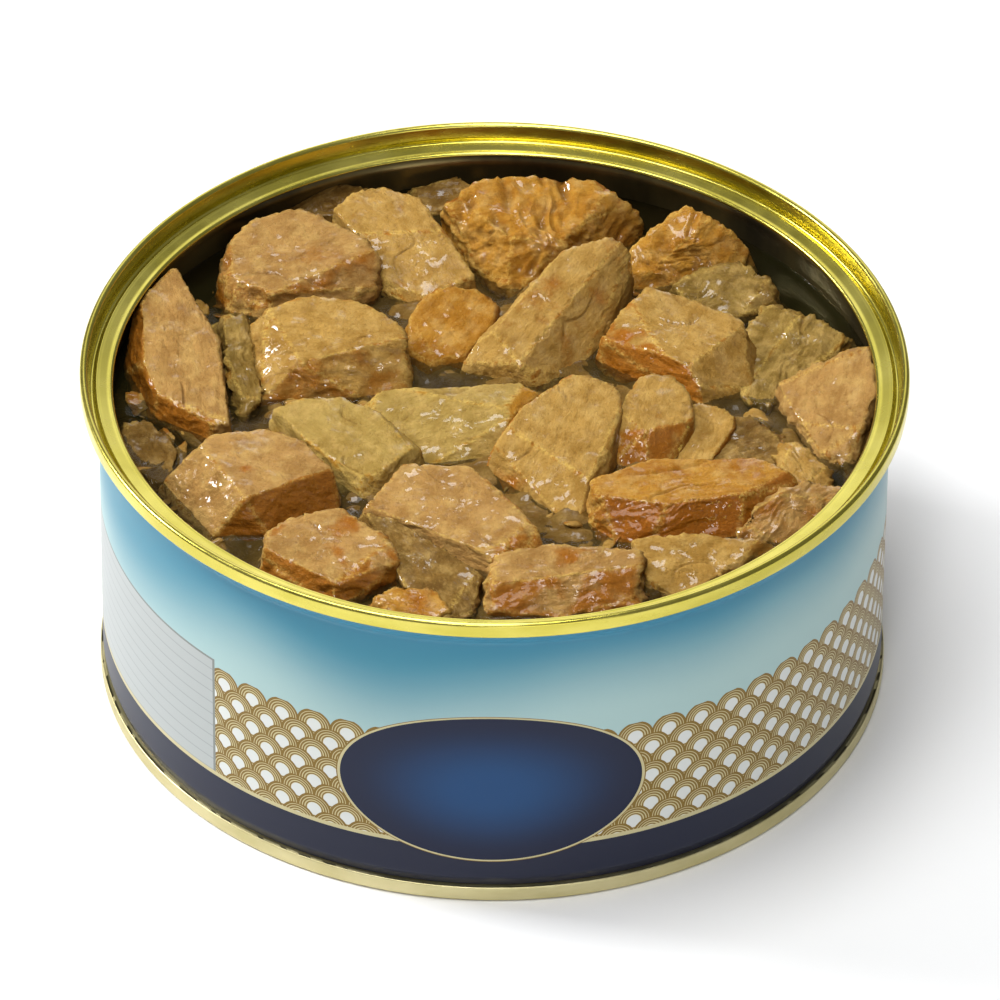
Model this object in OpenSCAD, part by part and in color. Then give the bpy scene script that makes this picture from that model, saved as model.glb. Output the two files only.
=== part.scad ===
// Opened round tuna can: printed steel body, gold lacquered ends, oil and
// chunks of tuna. The origin is the centre of the base, +Z is up, sizes in mm.

/* [Can] */
// Outside diameter of the printed body wall
body_d = 150.2; // [120:0.2:185]
// How far the top seam stands out past the body
top_seam_out = 3.5; // [3:0.1:4.5]
// How far the bottom seam stands out past the body
base_seam_out = 0.5; // [0.2:0.1:1]
// Height of the whole can
can_h = 69; // [55:0.5:90]
// Thickness of the body wall
wall = 0.5; // [0.3:0.1:0.8]
// Height of the top seam's outer wall
top_seam_h = 3.1; // [2.6:0.1:4]
// Height of the bottom seam's outer wall
base_seam_h = 3.3; // [2.6:0.1:4]
// Height of the flare that widens the body to the top seam
flare_h = 4.8; // [3:0.1:7]
// Height of the neck that narrows the body to the bottom seam
neck_h = 2.6; // [1.5:0.1:4]
// How far the neck narrows the body
neck_in = 0.7; // [0.3:0.1:1.2]

/* [Open end ring] */
// Width of the ledge left where the easy-open panel was torn off
ledge_w = 3.2; // [2:0.1:5]
// Width of the rounded groove between the seam and the ledge
groove_w = 1.6; // [1:0.1:2.4]
// Depth of the ledge below the top of the can
ledge_drop = 3.3; // [2.5:0.1:5]
// Thickness of the ring's sheet
sheet = 0.35; // [0.25:0.05:0.5]

/* [Base] */
// Height of the base panel above the ground
panel_z = 3.6; // [2.5:0.1:6]
// Number of raised rings pressed in the base panel
panel_rings = 3; // [0:1:5]
// Height of each raised ring
ring_rise = 0.6; // [0.2:0.1:1.2]

/* [Filling] */
// Depth of the oil's surface below the top of the can
headspace = 13; // [11:0.5:18]
// Depth of the layer of loose chunks that stand in the oil
layer_depth = 10; // [8:0.5:14]
// Room between the filling and the can's wall
clearance = 0.05; // [0.02:0.01:0.3]

/* [Hidden] */
$fn = 96;
body_r = body_d / 2;
seam_r = body_r + top_seam_out;
seam_z = can_h - top_seam_h;
seam_t = 1.5;
seam_round = 0.75;
cut_round = 0.6;
groove_lip = 0.4;
dish = 0.1;
play = 0.05;
chuck_r = seam_r - seam_t;
inner_r = body_r - wall;
base_seam_r = body_r + base_seam_out;
base_chuck_r = body_r - neck_in - wall - play;
oil_z = can_h - headspace;
bed_z = oil_z - layer_depth;
bed_floor_z = panel_z + sheet + ring_rise + play;
fill_r = inner_r - clearance;
curve_steps = 8;
over = 0.3;

// Inner radius of the can that the rows of chunks are laid out for
row_r = 75;
fit = inner_r / row_r;

// The five kinds of chunk. The first four numbers are how much of the width
// each upright corner loses, the next two the share of the length taken by the
// shoulders at the far and near ends, and the last two the share of the width
// taken by the shoulders on the left and right sides.
BLOCK = [0.22, 0.14, 0.20, 0.16, 0.07, 0.10, 0.12, 0.10];
PRISM = [0.30, 0.12, 0.18, 0.34, 0.08, 0.06, 0.36, 0.44];
OVAL = [0.36, 0.34, 0.38, 0.32, 0.20, 0.18, 0.22, 0.28];
WEDGE = [0.12, 0.38, 0.16, 0.30, 0.24, 0.08, 0.16, 0.30];
CRUST = [0.52, 0.14, 0.16, 0.50, 0.08, 0.06, 0.30, 0.14];

// One row for each chunk, those that lie on top first: kind, x and y of the
// middle of its top, rise above the oil, length, width, heading of its length,
// pitch along its length and roll about it.
CHUNKS = [
    [PRISM, 11, 29, 8.5, 45, 18, 65, 5, -4],
    [BLOCK, 34, 20, 8, 25, 23, -27, -3, -5],
    [BLOCK, -32.5, 20, 6.5, 32, 24, 2, 2, 4],
    [CRUST, -60, 17, 7, 45, 17.5, 104, -3, 8],
    [BLOCK, -45, -24, 7, 26, 24, -60, 4, -8],
    [WEDGE, 8, 53.5, 10, 40, 26, -6, 3, -7],
    [OVAL, -38, 45, 8, 32, 27, 58, -6, 5],
    [OVAL, 13.5, -9, 7, 41, 20, 76, 4, 7],
    [OVAL, -7, -32, 7.5, 34, 21, -27, 4, -4],
    [WEDGE, 38, -28, 6.5, 41, 14, 3, 2, 6],
    [OVAL, -30, -44.5, 6.5, 29, 19, -6, 2, 6],
    [PRISM, 63, 3, 6, 29, 18, 77, 6, 10],
    [BLOCK, -19, 52.5, 6.5, 36, 17, 112, 6, -5],
    [WEDGE, -28, -11, 6, 31, 17, -43, 2, -5],
    [BLOCK, 12.5, -53, 6.5, 31, 15, -2, 3, 5],
    [PRISM, 29.5, -4, 6.5, 25, 16, 69, 4, -6],
    [WEDGE, 36, 51.5, 9, 26, 18, 118, 12, 6],
    [OVAL, -7.5, 26.5, 6, 22, 16, 75, 8, 6],
    [WEDGE, -9, -4, 5, 36, 17, 3, -4, 5],
    [PRISM, 38.5, -45.5, 5, 27, 15, 14, -4, -6],
    [BLOCK, 43, 38, 4.5, 23, 15, -12, 4, -6],
    [WEDGE, 55, -31.5, 6, 20, 12, 40, -5, 6],
    [WEDGE, 57, -16.5, 5, 15, 9, 58, 6, -8],
    [BLOCK, -12, -46, 4, 27, 12, -48, 6, -8],
    [WEDGE, 59, 22, 2.5, 24, 17, -58, 5, 6],
    [OVAL, 40.5, -5, 4, 15, 10, 56, 8, -8],
    [BLOCK, -49, 14, 3.5, 28, 10, 86, -4, 6],
    [OVAL, -33, 63, 4, 15, 10, 28, 4, 6],
    [BLOCK, -13, 67, 3, 12, 8, 8, 4, -6],
    [WEDGE, 51, -8, 1.5, 18, 13, -25, 4, 6],
    [OVAL, -64, -13, 1.5, 22, 13, -64, 5, 6],
    [BLOCK, -17, -59, 2, 19, 7, -15, 3, 6],
];

// Every chunk is as thick as the tallest, whose underside lies on the bed
chunk_depth = layer_depth + max([for (row = CHUNKS) row[3]]);

function chunk_kind(i) = CHUNKS[i][0];
function chunk_x(i) = CHUNKS[i][1] * fit;
function chunk_y(i) = CHUNKS[i][2] * fit;
function chunk_z(i) = oil_z + CHUNKS[i][3];
function chunk_len(i) = CHUNKS[i][4] * fit;
function chunk_wid(i) = CHUNKS[i][5] * fit;
function chunk_turn(i) = [CHUNKS[i][8], CHUNKS[i][7], CHUNKS[i][6]];
function chunk_name(i) = str("tuna_", i < 9 ? "0" : "", i + 1);

// True when chunks i and j lie near enough to meet
function near(i, j) =
    norm([chunk_x(i) - chunk_x(j), chunk_y(i) - chunk_y(j)])
    < (chunk_len(i) + chunk_len(j)) * 0.62;

// A share that differs a little from chunk to chunk and corner to corner
function uneven(i, k) = 0.8 + 0.4 * abs(sin(137 * i + 71 * k));
function share(i, k) = chunk_kind(i)[k] * uneven(i, k);

// Points of an arc about c from angle a to angle b
function arc(c, r, a, b) = [
    for (k = [0:curve_steps])
        let (t = a + (b - a) * k / curve_steps)
        c + r * [cos(t), sin(t)]
];

// Points that ease from point a to point b, upright at both ends
function ease(a, b) = [
    for (k = [0:curve_steps])
        let (t = k / curve_steps)
        [a.x + (b.x - a.x) * (1 - cos(180 * t)) / 2, a.y + (b.y - a.y) * t]
];

function backwards(list) = [for (k = [len(list) - 1:-1:0]) list[k]];

function moved(list, by) = [for (p = list) p + by];

// Outer line of the body from the bottom seam up to the top seam
function body_line() = concat(
    ease([body_r - neck_in, base_seam_h], [body_r, base_seam_h + neck_h]),
    ease([body_r, seam_z - flare_h], [chuck_r + seam_t / 2, seam_z])
);

// Upper line of the base panel from its middle out: flat, with raised rings
function panel_line() =
    let (pitch = base_chuck_r / (2 * panel_rings + 3))
    [
        for (k = [0:(panel_rings == 0 ? 0 : panel_rings * 2 * curve_steps)])
            let (t = k / (2 * curve_steps))
            [
                base_chuck_r - pitch * (2 * panel_rings + 1) + 2 * pitch * t,
                panel_z + sheet + ring_rise * (1 - cos(360 * t)) / 2
            ]
    ];

module can_body() {
    line = body_line();
    color("steelblue")
    rotate_extrude()
        polygon(concat(line, backwards(moved(line, [-wall, 0]))));
}

// Bottom seam, its chuck wall and the countersunk panel with raised rings
module base_end() {
    upper = panel_line();
    color("gold")
    rotate_extrude()
        polygon(concat(
            [[0, panel_z + sheet]],
            upper,
            [
                [base_chuck_r, panel_z + sheet],
                [base_chuck_r, base_seam_h],
                [base_seam_r, base_seam_h]
            ],
            arc([base_seam_r - seam_round, seam_round], seam_round, 0, -90),
            arc([base_chuck_r - sheet + seam_round, seam_round], seam_round, -90, -180),
            [[base_chuck_r - sheet, panel_z]],
            backwards(moved(upper, [0, -sheet])),
            [[0, panel_z]]
        ));
}

// Top seam and the ring of the torn-off easy-open end: crown, chuck wall,
// rounded groove, ledge and turned-down cut edge
module top_ring() {
    ledge_r = chuck_r - groove_w;
    cut_r = ledge_r - ledge_w;
    ledge_z = can_h - ledge_drop;
    groove_r = (groove_w - groove_lip) / 2;
    groove_z = ledge_z - groove_r;
    upper = concat(
        [[chuck_r, can_h - seam_round], [chuck_r - groove_lip, ledge_z]],
        arc([chuck_r - groove_w / 2, ledge_z], groove_r, 0, -180),
        ease([ledge_r - groove_lip, ledge_z + dish], [cut_r + 2 * cut_round, ledge_z - dish]),
        arc([cut_r + cut_round, ledge_z - dish - cut_round], cut_round, 75, 180)
    );
    lower = [
        [cut_r + cut_round / 2, ledge_z - 1.5 * cut_round],
        [cut_r + 2 * cut_round, ledge_z - dish - sheet],
        [ledge_r - groove_lip, ledge_z - sheet],
        [ledge_r, groove_z - sheet],
        [chuck_r - groove_lip, groove_z - sheet],
        [chuck_r - groove_lip + sheet, ledge_z],
        [chuck_r - groove_lip + sheet, seam_z]
    ];
    color("goldenrod")
    rotate_extrude()
        polygon(concat(
            arc([seam_r - seam_round, can_h - seam_round], seam_round, 0, 90),
            arc([chuck_r + seam_round, can_h - seam_round], seam_round, 90, 180),
            upper,
            lower,
            [[seam_r - sheet, seam_z], [seam_r, seam_z + sheet]]
        ));
}

// A rectangle l by w about the middle with its four corners cut by c
function cut_plan(l, w, c) = [
    [l / 2 - c[0], w / 2], [l / 2, w / 2 - c[0]],
    [l / 2, c[1] - w / 2], [l / 2 - c[1], -w / 2],
    [c[2] - l / 2, -w / 2], [-l / 2, c[2] - w / 2],
    [-l / 2, w / 2 - c[3]], [c[3] - l / 2, w / 2]
];

// The outline of a chunk seen from a side: a flat top between two shoulders,
// widest at half depth, and drawn in by a quarter at the underside
function shoulder_outline(span, a, b) =
    let (
        half = span / 2,
        waist = chunk_depth / 2,
        tuck = span / 4,
        drop_a = min(1.1 * a, 0.75 * waist),
        drop_b = min(1.1 * b, 0.75 * waist),
        under = waist - over * waist / tuck
    )
    [
        [a - half, 0], [half - b, 0],
        [half + over, -drop_b * (b + over) / b],
        [half + over, -under],
        [half - tuck, -chunk_depth], [tuck - half, -chunk_depth],
        [-half - over, -under],
        [-half - over, -drop_a * (a + over) / a]
    ];

// The whole of chunk i, before its neighbours take their share
module whole_chunk(i) {
    l = chunk_len(i);
    w = chunk_wid(i);
    intersection() {
        translate([chunk_x(i), chunk_y(i), chunk_z(i)])
            rotate([0, 0, chunk_turn(i).z])
                rotate([chunk_turn(i).x, chunk_turn(i).y, 0])
                    intersection() {
                        translate([0, 0, -chunk_depth - 1])
                            linear_extrude(chunk_depth + 2)
                                polygon(cut_plan(l, w, [for (k = [0:3]) w * share(i, k)]));
                        rotate([90, 0, 0])
                            linear_extrude(w + 2, center = true)
                                polygon(shoulder_outline(l, l * share(i, 5), l * share(i, 4)));
                        rotate([90, 0, 90])
                            linear_extrude(l + 2, center = true)
                                polygon(shoulder_outline(w, w * share(i, 7), w * share(i, 6)));
                    }
        translate([0, 0, bed_z])
            cylinder(h = layer_depth + 2 * headspace, r = fill_r);
    }
}

module tuna_chunk(i) {
    color("peru")
    difference() {
        whole_chunk(i);
        if (i > 0)
            for (j = [0:i - 1])
                if (near(i, j)) whole_chunk(j);
    }
}

// Oil round the standing chunks, up to its level surface
module oil() {
    color("darkolivegreen")
    difference() {
        translate([0, 0, bed_z])
            cylinder(h = oil_z - bed_z, r = fill_r);
        for (i = [0:len(CHUNKS) - 1]) whole_chunk(i);
    }
}

// Packed tuna below the loose chunks
module tuna_bed() {
    color("sienna")
    translate([0, 0, bed_floor_z])
        cylinder(h = bed_z - bed_floor_z, r = fill_r - neck_in);
}

can_body();
base_end();
top_ring();
oil();
tuna_bed();
for (i = [0:len(CHUNKS) - 1])
    tuna_chunk(i);
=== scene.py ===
"""Dresses the opened tuna can: printed body, lacquered ends, oil and chunks of tuna."""

import logging
import math
from dataclasses import dataclass, field
from enum import Enum

import bmesh
import bpy
import numpy as np
from mathutils import Matrix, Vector
from numpy.typing import NDArray


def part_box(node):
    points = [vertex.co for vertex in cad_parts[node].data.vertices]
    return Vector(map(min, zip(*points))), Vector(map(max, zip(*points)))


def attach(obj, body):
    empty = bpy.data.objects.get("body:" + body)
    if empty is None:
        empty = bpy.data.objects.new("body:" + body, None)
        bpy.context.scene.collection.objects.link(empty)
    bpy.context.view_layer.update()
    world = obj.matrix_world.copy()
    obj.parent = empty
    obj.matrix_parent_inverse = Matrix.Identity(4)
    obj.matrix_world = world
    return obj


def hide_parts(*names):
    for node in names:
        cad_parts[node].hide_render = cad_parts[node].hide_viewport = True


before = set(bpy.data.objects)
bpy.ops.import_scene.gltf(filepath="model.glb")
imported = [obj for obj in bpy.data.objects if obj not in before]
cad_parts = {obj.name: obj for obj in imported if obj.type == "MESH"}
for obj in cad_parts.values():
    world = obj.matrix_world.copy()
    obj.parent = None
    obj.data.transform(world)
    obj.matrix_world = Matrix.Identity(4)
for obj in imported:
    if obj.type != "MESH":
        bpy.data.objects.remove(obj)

Array = NDArray[np.float64]
Numbers = NDArray[np.int64]
Colour = tuple[float, float, float, float]
Corner = tuple[float, float, float]
Socket = bpy.types.NodeSocket

MM = 0.001
LOG = logging.getLogger("tuna_can")
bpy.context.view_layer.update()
OIL_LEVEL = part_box("oil")[1].z / MM
CAN_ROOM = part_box("oil")[1].x / MM
SCRAMBLE = (374761393, 668265263, 1440662683, 974634777, 1274126177)


def paint(red: int, green: int, blue: int) -> Colour:
    """Turns a display colour into the linear colour that a shader reads.

    Args:
        red: Red from 0 to 255.
        green: Green from 0 to 255.
        blue: Blue from 0 to 255.

    Returns:
        The linear red, green and blue with full cover.
    """
    parts = [value / 255.0 for value in (red, green, blue)]
    linear = [p / 12.92 if p <= 0.04045 else ((p + 0.055) / 1.055) ** 2.4 for p in parts]
    return (linear[0], linear[1], linear[2], 1.0)


def smooth(low: float, high: float, values: Array) -> Array:
    """Eases from 0 at low to 1 at high with the cubic 3t squared minus 2t cubed.

    Args:
        low: The value that gives 0.
        high: The value that gives 1.
        values: The values to ease.

    Returns:
        The eased values.
    """
    t = np.clip((values - low) / (high - low), 0.0, 1.0)
    return t * t * (3.0 - 2.0 * t)


@dataclass(frozen=True)
class Lumps:
    """Smooth seeded unevenness: random heights on a unit lattice, eased between."""

    seed: int

    def corner(self, cell: Numbers, step: tuple[int, int, int]) -> Array:
        """Gives the random height at one corner of each lattice cell.

        Args:
            cell: The whole numbers of the cells.
            step: Which of the cell's eight corners.

        Returns:
            Heights from -1 to 1, a scrambled mix of the three whole numbers.
        """
        mixed = sum((cell[..., k] + step[k]) * SCRAMBLE[k] for k in range(3)) + self.seed * SCRAMBLE[3]
        mixed = (mixed ^ (mixed >> 13)) * SCRAMBLE[4]
        mixed = mixed ^ (mixed >> 16)
        return (mixed & 0xFFFF) / 32767.5 - 1.0

    def at(self, points: Array) -> Array:
        """Gives the height at each point: the eight corner heights, eased in x, y and z.

        Args:
            points: Places, with x, y and z in the last axis.

        Returns:
            Heights from -1 to 1.
        """
        cell = np.floor(points).astype(np.int64)
        t = points - cell
        t = t * t * t * (t * (t * 6.0 - 15.0) + 10.0)
        total = np.zeros(points.shape[:-1])
        for step in np.ndindex(2, 2, 2):
            weight = np.ones(points.shape[:-1])
            for k in range(3):
                weight = weight * (t[..., k] if step[k] else 1.0 - t[..., k])
            total += weight * self.corner(cell, step)
        return total

    def rough(self, points: Array, octaves: int) -> Array:
        """Adds layers of height, each at twice the frequency and half the height.

        Args:
            points: Places, with x, y and z in the last axis.
            octaves: How many layers.

        Returns:
            Heights from about -1 to 1.
        """
        total = np.zeros(points.shape[:-1])
        for k in range(octaves):
            total += Lumps(self.seed + k).at(points * 2.0**k + 17.3 * k) / 2.0**k
        return total / 1.6


def within_can(points: Array, radius: float) -> Array:
    """Pulls points that lie too far out straight in towards the can's axis.

    Args:
        points: Places in mm.
        radius: How far out they may lie.

    Returns:
        The places, none further from the axis than the radius.
    """
    away = np.maximum(np.hypot(points[..., 0], points[..., 1]), 1e-6)
    share = np.minimum(1.0, radius / away)
    return points * np.stack([share, share, np.ones(share.shape)], -1)


class Surface:
    """Builds one mesh object out of grids of points, given in millimetres."""

    def __init__(self, name: str) -> None:
        """Starts an empty piece.

        Args:
            name: The piece's name.
        """
        self.name = name
        self.points: list[Array] = []
        self.quads: list[Numbers] = []
        self.fans: list[Numbers] = []
        self.slots: list[Numbers] = []
        self.count = 0

    def grid(self, points: Array, wrap_rows: bool, wrap_columns: bool, slot: int = 0) -> Numbers:
        """Adds a sheet of quads between neighbouring points of a grid.

        Args:
            points: Rows by columns by 3. Rows run so that row step, column step and
                outward normal are right handed.
            wrap_rows: Whether the last row joins the first.
            wrap_columns: Whether the last column joins the first.
            slot: The material slot of its faces.

        Returns:
            The number of each grid point in the piece.
        """
        rows, columns = points.shape[:2]
        index = np.arange(rows * columns).reshape(rows, columns) + self.count
        self.points.append(points.reshape(-1, 3))
        self.count += rows * columns
        below = np.roll(index, -1, 0) if wrap_rows else index[1:]
        here = index if wrap_rows else index[:-1]
        if wrap_columns:
            left, right = here, np.roll(here, -1, 1)
            low_left, low_right = below, np.roll(below, -1, 1)
        else:
            left, right = here[:, :-1], here[:, 1:]
            low_left, low_right = below[:, :-1], below[:, 1:]
        self.add_quads(np.stack([left, low_left, low_right, right], -1).reshape(-1, 4), slot)
        return index

    def add_quads(self, quads: Numbers, slot: int = 0) -> None:
        """Adds faces of four points.

        Args:
            quads: Point numbers, four to a row.
            slot: The material slot.
        """
        self.quads.append(quads)
        self.slots.append(np.full(len(quads), slot))

    def fan(self, loop: Numbers, tip: Array) -> None:
        """Closes a loop of points with triangles that meet at one point.

        Args:
            loop: Point numbers round the loop, anticlockwise as seen from outside.
            tip: The point where the triangles meet.
        """
        self.points.append(tip.reshape(1, 3))
        centre = np.full(len(loop), self.count)
        self.count += 1
        self.fans.append(np.stack([loop, np.roll(loop, -1), centre], -1))

    def ball(self, points: Array) -> None:
        """Adds a closed lump: a grid from its top to its underside, with both ends fanned shut.

        Args:
            points: Rows from the top down by columns round by 3.
        """
        index = self.grid(points, False, True)
        self.fan(index[0], points[0].mean(0))
        self.fan(index[-1][::-1], points[-1].mean(0))

    def skirt(self, index: Numbers, floor: float) -> None:
        """Carries a sheet's border straight down and closes the piece underneath.

        Args:
            index: The point numbers of the sheet's grid.
            floor: The height of the underside.
        """
        loop = np.concatenate([index[0, :-1], index[:-1, -1], index[-1, :0:-1], index[:0:-1, 0]])
        low = self.all_points()[loop]
        low[:, 2] = floor
        lower = self.grid(low[None], False, True)[0]
        self.add_quads(np.stack([loop, np.roll(loop, -1), np.roll(lower, -1), lower], -1))
        self.fan(lower, np.array([0.0, 0.0, floor]))

    def all_points(self) -> Array:
        """Returns every point of the piece in one list."""
        return np.concatenate(self.points)

    def build(self, materials: list[bpy.types.Material]) -> bpy.types.Object:
        """Makes the mesh, smooth shaded, with its place in its mesh.

        Args:
            materials: The materials in slot order.

        Returns:
            The finished object, riding on the can.
        """
        quads = np.concatenate(self.quads)
        fans = np.concatenate(self.fans) if self.fans else np.zeros((0, 3), int)
        loops = np.concatenate([quads.ravel(), fans.ravel()])
        starts = np.concatenate([np.arange(len(quads)) * 4, len(quads) * 4 + np.arange(len(fans)) * 3])
        mesh = bpy.data.meshes.new(self.name)
        mesh.vertices.add(self.count)
        mesh.vertices.foreach_set("co", (self.all_points() * MM).ravel())
        mesh.loops.add(len(loops))
        mesh.loops.foreach_set("vertex_index", loops)
        mesh.polygons.add(len(starts))
        mesh.polygons.foreach_set("loop_start", starts)
        slots = np.concatenate([*self.slots, np.zeros(len(fans), int)])
        mesh.polygons.foreach_set("material_index", slots)
        mesh.polygons.foreach_set("use_smooth", np.ones(len(starts), bool))
        mesh.update(calc_edges=True)
        mesh.validate()
        for material in materials:
            mesh.materials.append(material)
        piece = bpy.data.objects.new(self.name, mesh)
        bpy.context.scene.collection.objects.link(piece)
        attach(piece, "root")
        return piece


def store(piece: bpy.types.Object, name: str, kind: str, values: Array) -> None:
    """Writes one value for each point of a piece into a named attribute.

    Args:
        piece: The piece.
        name: The attribute's name.
        kind: FLOAT_VECTOR or FLOAT_COLOR.
        values: One row for each point.
    """
    attribute = piece.data.attributes.new(name, kind, "POINT")
    key = "vector" if kind == "FLOAT_VECTOR" else "color"
    attribute.data.foreach_set(key, np.ascontiguousarray(values, np.float32).ravel())


def turned(profile: Array, steps: int) -> Array:
    """Carries a profile round the can's axis: x is r cos a, y is r sin a.

    Args:
        profile: Points of radius and height, clockwise round the section seen
            with the radius to the right.
        steps: How many places round the circle.

    Returns:
        Rows along the profile, columns round the axis.
    """
    angle = np.linspace(0.0, 2.0 * np.pi, steps, endpoint=False)
    radius = profile[:, 0][:, None]
    height = np.repeat(profile[:, 1][:, None], steps, 1)
    return np.stack([radius * np.cos(angle), radius * np.sin(angle), height], -1)


def arc(middle: tuple[float, float], radius: float, start: float, end: float, steps: int = 10) -> Array:
    """Gives points of a circle's arc from one angle to another.

    Args:
        middle: The circle's middle.
        radius: Its radius.
        start: First angle in degrees.
        end: Last angle in degrees.
        steps: How many points.

    Returns:
        The points, one to a row.
    """
    angle = np.radians(np.linspace(start, end, steps))
    return np.stack([middle[0] + radius * np.cos(angle), middle[1] + radius * np.sin(angle)], -1)


def eased(start: tuple[float, float], end: tuple[float, float], steps: int = 16) -> Array:
    """Gives points that rise evenly while the radius eases by half a cosine wave.

    Args:
        start: First radius and height.
        end: Last radius and height.
        steps: How many points.

    Returns:
        The points, one to a row.
    """
    t = np.linspace(0.0, 1.0, steps)
    radius = start[0] + (end[0] - start[0]) * (1.0 - np.cos(np.pi * t)) / 2.0
    return np.stack([radius, start[1] + (end[1] - start[1]) * t], -1)


def line(start: tuple[float, float], end: tuple[float, float], steps: int = 4) -> Array:
    """Gives evenly spaced points of a straight line, ends included.

    Args:
        start: First point.
        end: Last point.
        steps: How many points.

    Returns:
        The points, one to a row.
    """
    t = np.linspace(0.0, 1.0, steps)[:, None]
    return np.array(start) * (1.0 - t) + np.array(end) * t


class Board:
    """One material's shader nodes, added and joined with short calls."""

    def __init__(self, name: str) -> None:
        """Starts a material with only its output.

        Args:
            name: The material's name.
        """
        self.material = bpy.data.materials.new(name)
        self.material.use_nodes = True
        self.nodes = self.material.node_tree.nodes
        self.nodes.clear()
        self.output = self.nodes.new("ShaderNodeOutputMaterial")

    def feed(self, source: Socket | float | tuple, socket: Socket) -> None:
        """Links a socket, or sets its value where a plain number or colour is given."""
        if isinstance(source, bpy.types.NodeSocket):
            self.material.node_tree.links.new(source, socket)
        else:
            socket.default_value = source

    def math(self, operation: str, *values: Socket | float) -> Socket:
        """Adds a Math node.

        Args:
            operation: Its operation, such as MULTIPLY.
            values: Its inputs in order.

        Returns:
            The result.
        """
        node = self.nodes.new("ShaderNodeMath")
        node.operation = operation
        for value, socket in zip(values, node.inputs):
            self.feed(value, socket)
        return node.outputs[0]

    def span(self, value: Socket, low: float, high: float, bottom: float = 0.0, top: float = 1.0) -> Socket:
        """Eases a value from bottom at low to top at high.

        Args:
            value: The value.
            low: Where the result is bottom.
            high: Where the result is top.
            bottom: The result at low.
            top: The result at high.

        Returns:
            The eased result.
        """
        node = self.nodes.new("ShaderNodeMapRange")
        node.interpolation_type = "SMOOTHSTEP"
        for number, socket in zip((low, high, bottom, top), (1, 2, 3, 4)):
            node.inputs[socket].default_value = number
        self.feed(value, node.inputs[0])
        return node.outputs[0]

    def mix(self, factor: Socket | float, first: Socket | Colour, second: Socket | Colour) -> Socket:
        """Mixes two colours.

        Args:
            factor: How much of the second.
            first: The first colour.
            second: The second colour.

        Returns:
            The mixed colour.
        """
        node = self.nodes.new("ShaderNodeMix")
        node.data_type = "RGBA"
        self.feed(factor, node.inputs[0])
        self.feed(first, node.inputs[6])
        self.feed(second, node.inputs[7])
        return node.outputs[2]

    def place(self) -> Socket:
        """Returns the place on the object, in metres."""
        return self.nodes.new("ShaderNodeTexCoord").outputs["Object"]

    def parts(self, vector: Socket) -> tuple[Socket, Socket, Socket]:
        """Splits a place into its x, y and z."""
        split = self.nodes.new("ShaderNodeSeparateXYZ")
        self.feed(vector, split.inputs[0])
        return split.outputs[0], split.outputs[1], split.outputs[2]

    def stretch(self, vector: Socket, scale: tuple[float, float, float]) -> Socket:
        """Multiplies a place by a scale for each axis.

        Args:
            vector: The place.
            scale: The three factors.

        Returns:
            The scaled place.
        """
        node = self.nodes.new("ShaderNodeVectorMath")
        node.operation = "MULTIPLY"
        self.feed(vector, node.inputs[0])
        node.inputs[1].default_value = scale
        return node.outputs[0]

    def noise(self, vector: Socket, scale: float, detail: float = 2.0, roughness: float = 0.5) -> Socket:
        """Adds a cloudy noise.

        Args:
            vector: The place it reads.
            scale: How many clouds to a unit.
            detail: Its layers.
            roughness: How strong the fine layers are.

        Returns:
            The noise's value, mostly 0.3 to 0.7.
        """
        node = self.nodes.new("ShaderNodeTexNoise")
        self.feed(vector, node.inputs["Vector"])
        node.inputs["Scale"].default_value = scale
        node.inputs["Detail"].default_value = detail
        node.inputs["Roughness"].default_value = roughness
        return node.outputs[0]

    def attribute(self, name: str) -> bpy.types.Node:
        """Returns the node that reads a named attribute."""
        node = self.nodes.new("ShaderNodeAttribute")
        node.attribute_name = name
        return node

    def bump(self, height: Socket, distance: float, strength: float = 1.0) -> Socket:
        """Turns a height into a bumped normal.

        Args:
            height: The height, about 0 to 1.
            distance: The height's size in metres.
            strength: How strong it looks.

        Returns:
            The normal.
        """
        node = self.nodes.new("ShaderNodeBump")
        node.inputs["Strength"].default_value = strength
        node.inputs["Distance"].default_value = distance
        self.feed(height, node.inputs["Height"])
        return node.outputs[0]

    def finish(self, **values: Socket | float | tuple) -> bpy.types.Material:
        """Adds the shader and joins it to the output.

        Args:
            values: Inputs of the Principled shader by name, with _ for a space.

        Returns:
            The finished material.
        """
        shader = self.nodes.new("ShaderNodeBsdfPrincipled")
        for name, value in values.items():
            self.feed(value, shader.inputs[name.replace("_", " ")])
        self.feed(shader.outputs[0], self.output.inputs["Surface"])
        return self.material


@dataclass(frozen=True)
class GoldLacquer:
    """Clear gold lacquer on tinplate: yellow metal with faint drawing lines."""

    name: str = "gold_lacquer"
    bright: Colour = paint(214, 202, 100)
    deep: Colour = paint(198, 186, 80)
    roughness: float = 0.24

    def material(self) -> bpy.types.Material:
        """Returns the metal, its colour clouded and its gloss uneven."""
        board = Board(self.name)
        vector = board.place()
        cloud = board.noise(board.stretch(vector, (1.0, 1.0, 3.0)), 60.0, 3.0)
        colour = board.mix(board.span(cloud, 0.35, 0.65), self.bright, self.deep)
        fine = board.noise(board.stretch(vector, (1.0, 1.0, 4.0)), 200.0, 2.0)
        gloss = board.span(fine, 0.3, 0.7, self.roughness - 0.03, self.roughness + 0.04)
        return board.finish(Base_Color=colour, Metallic=1.0, Roughness=gloss)


BRIGHT_GOLD = GoldLacquer()
PALE_GOLD = GoldLacquer("pale_gold_lacquer", paint(214, 204, 158), paint(200, 190, 140), 0.42)


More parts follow.
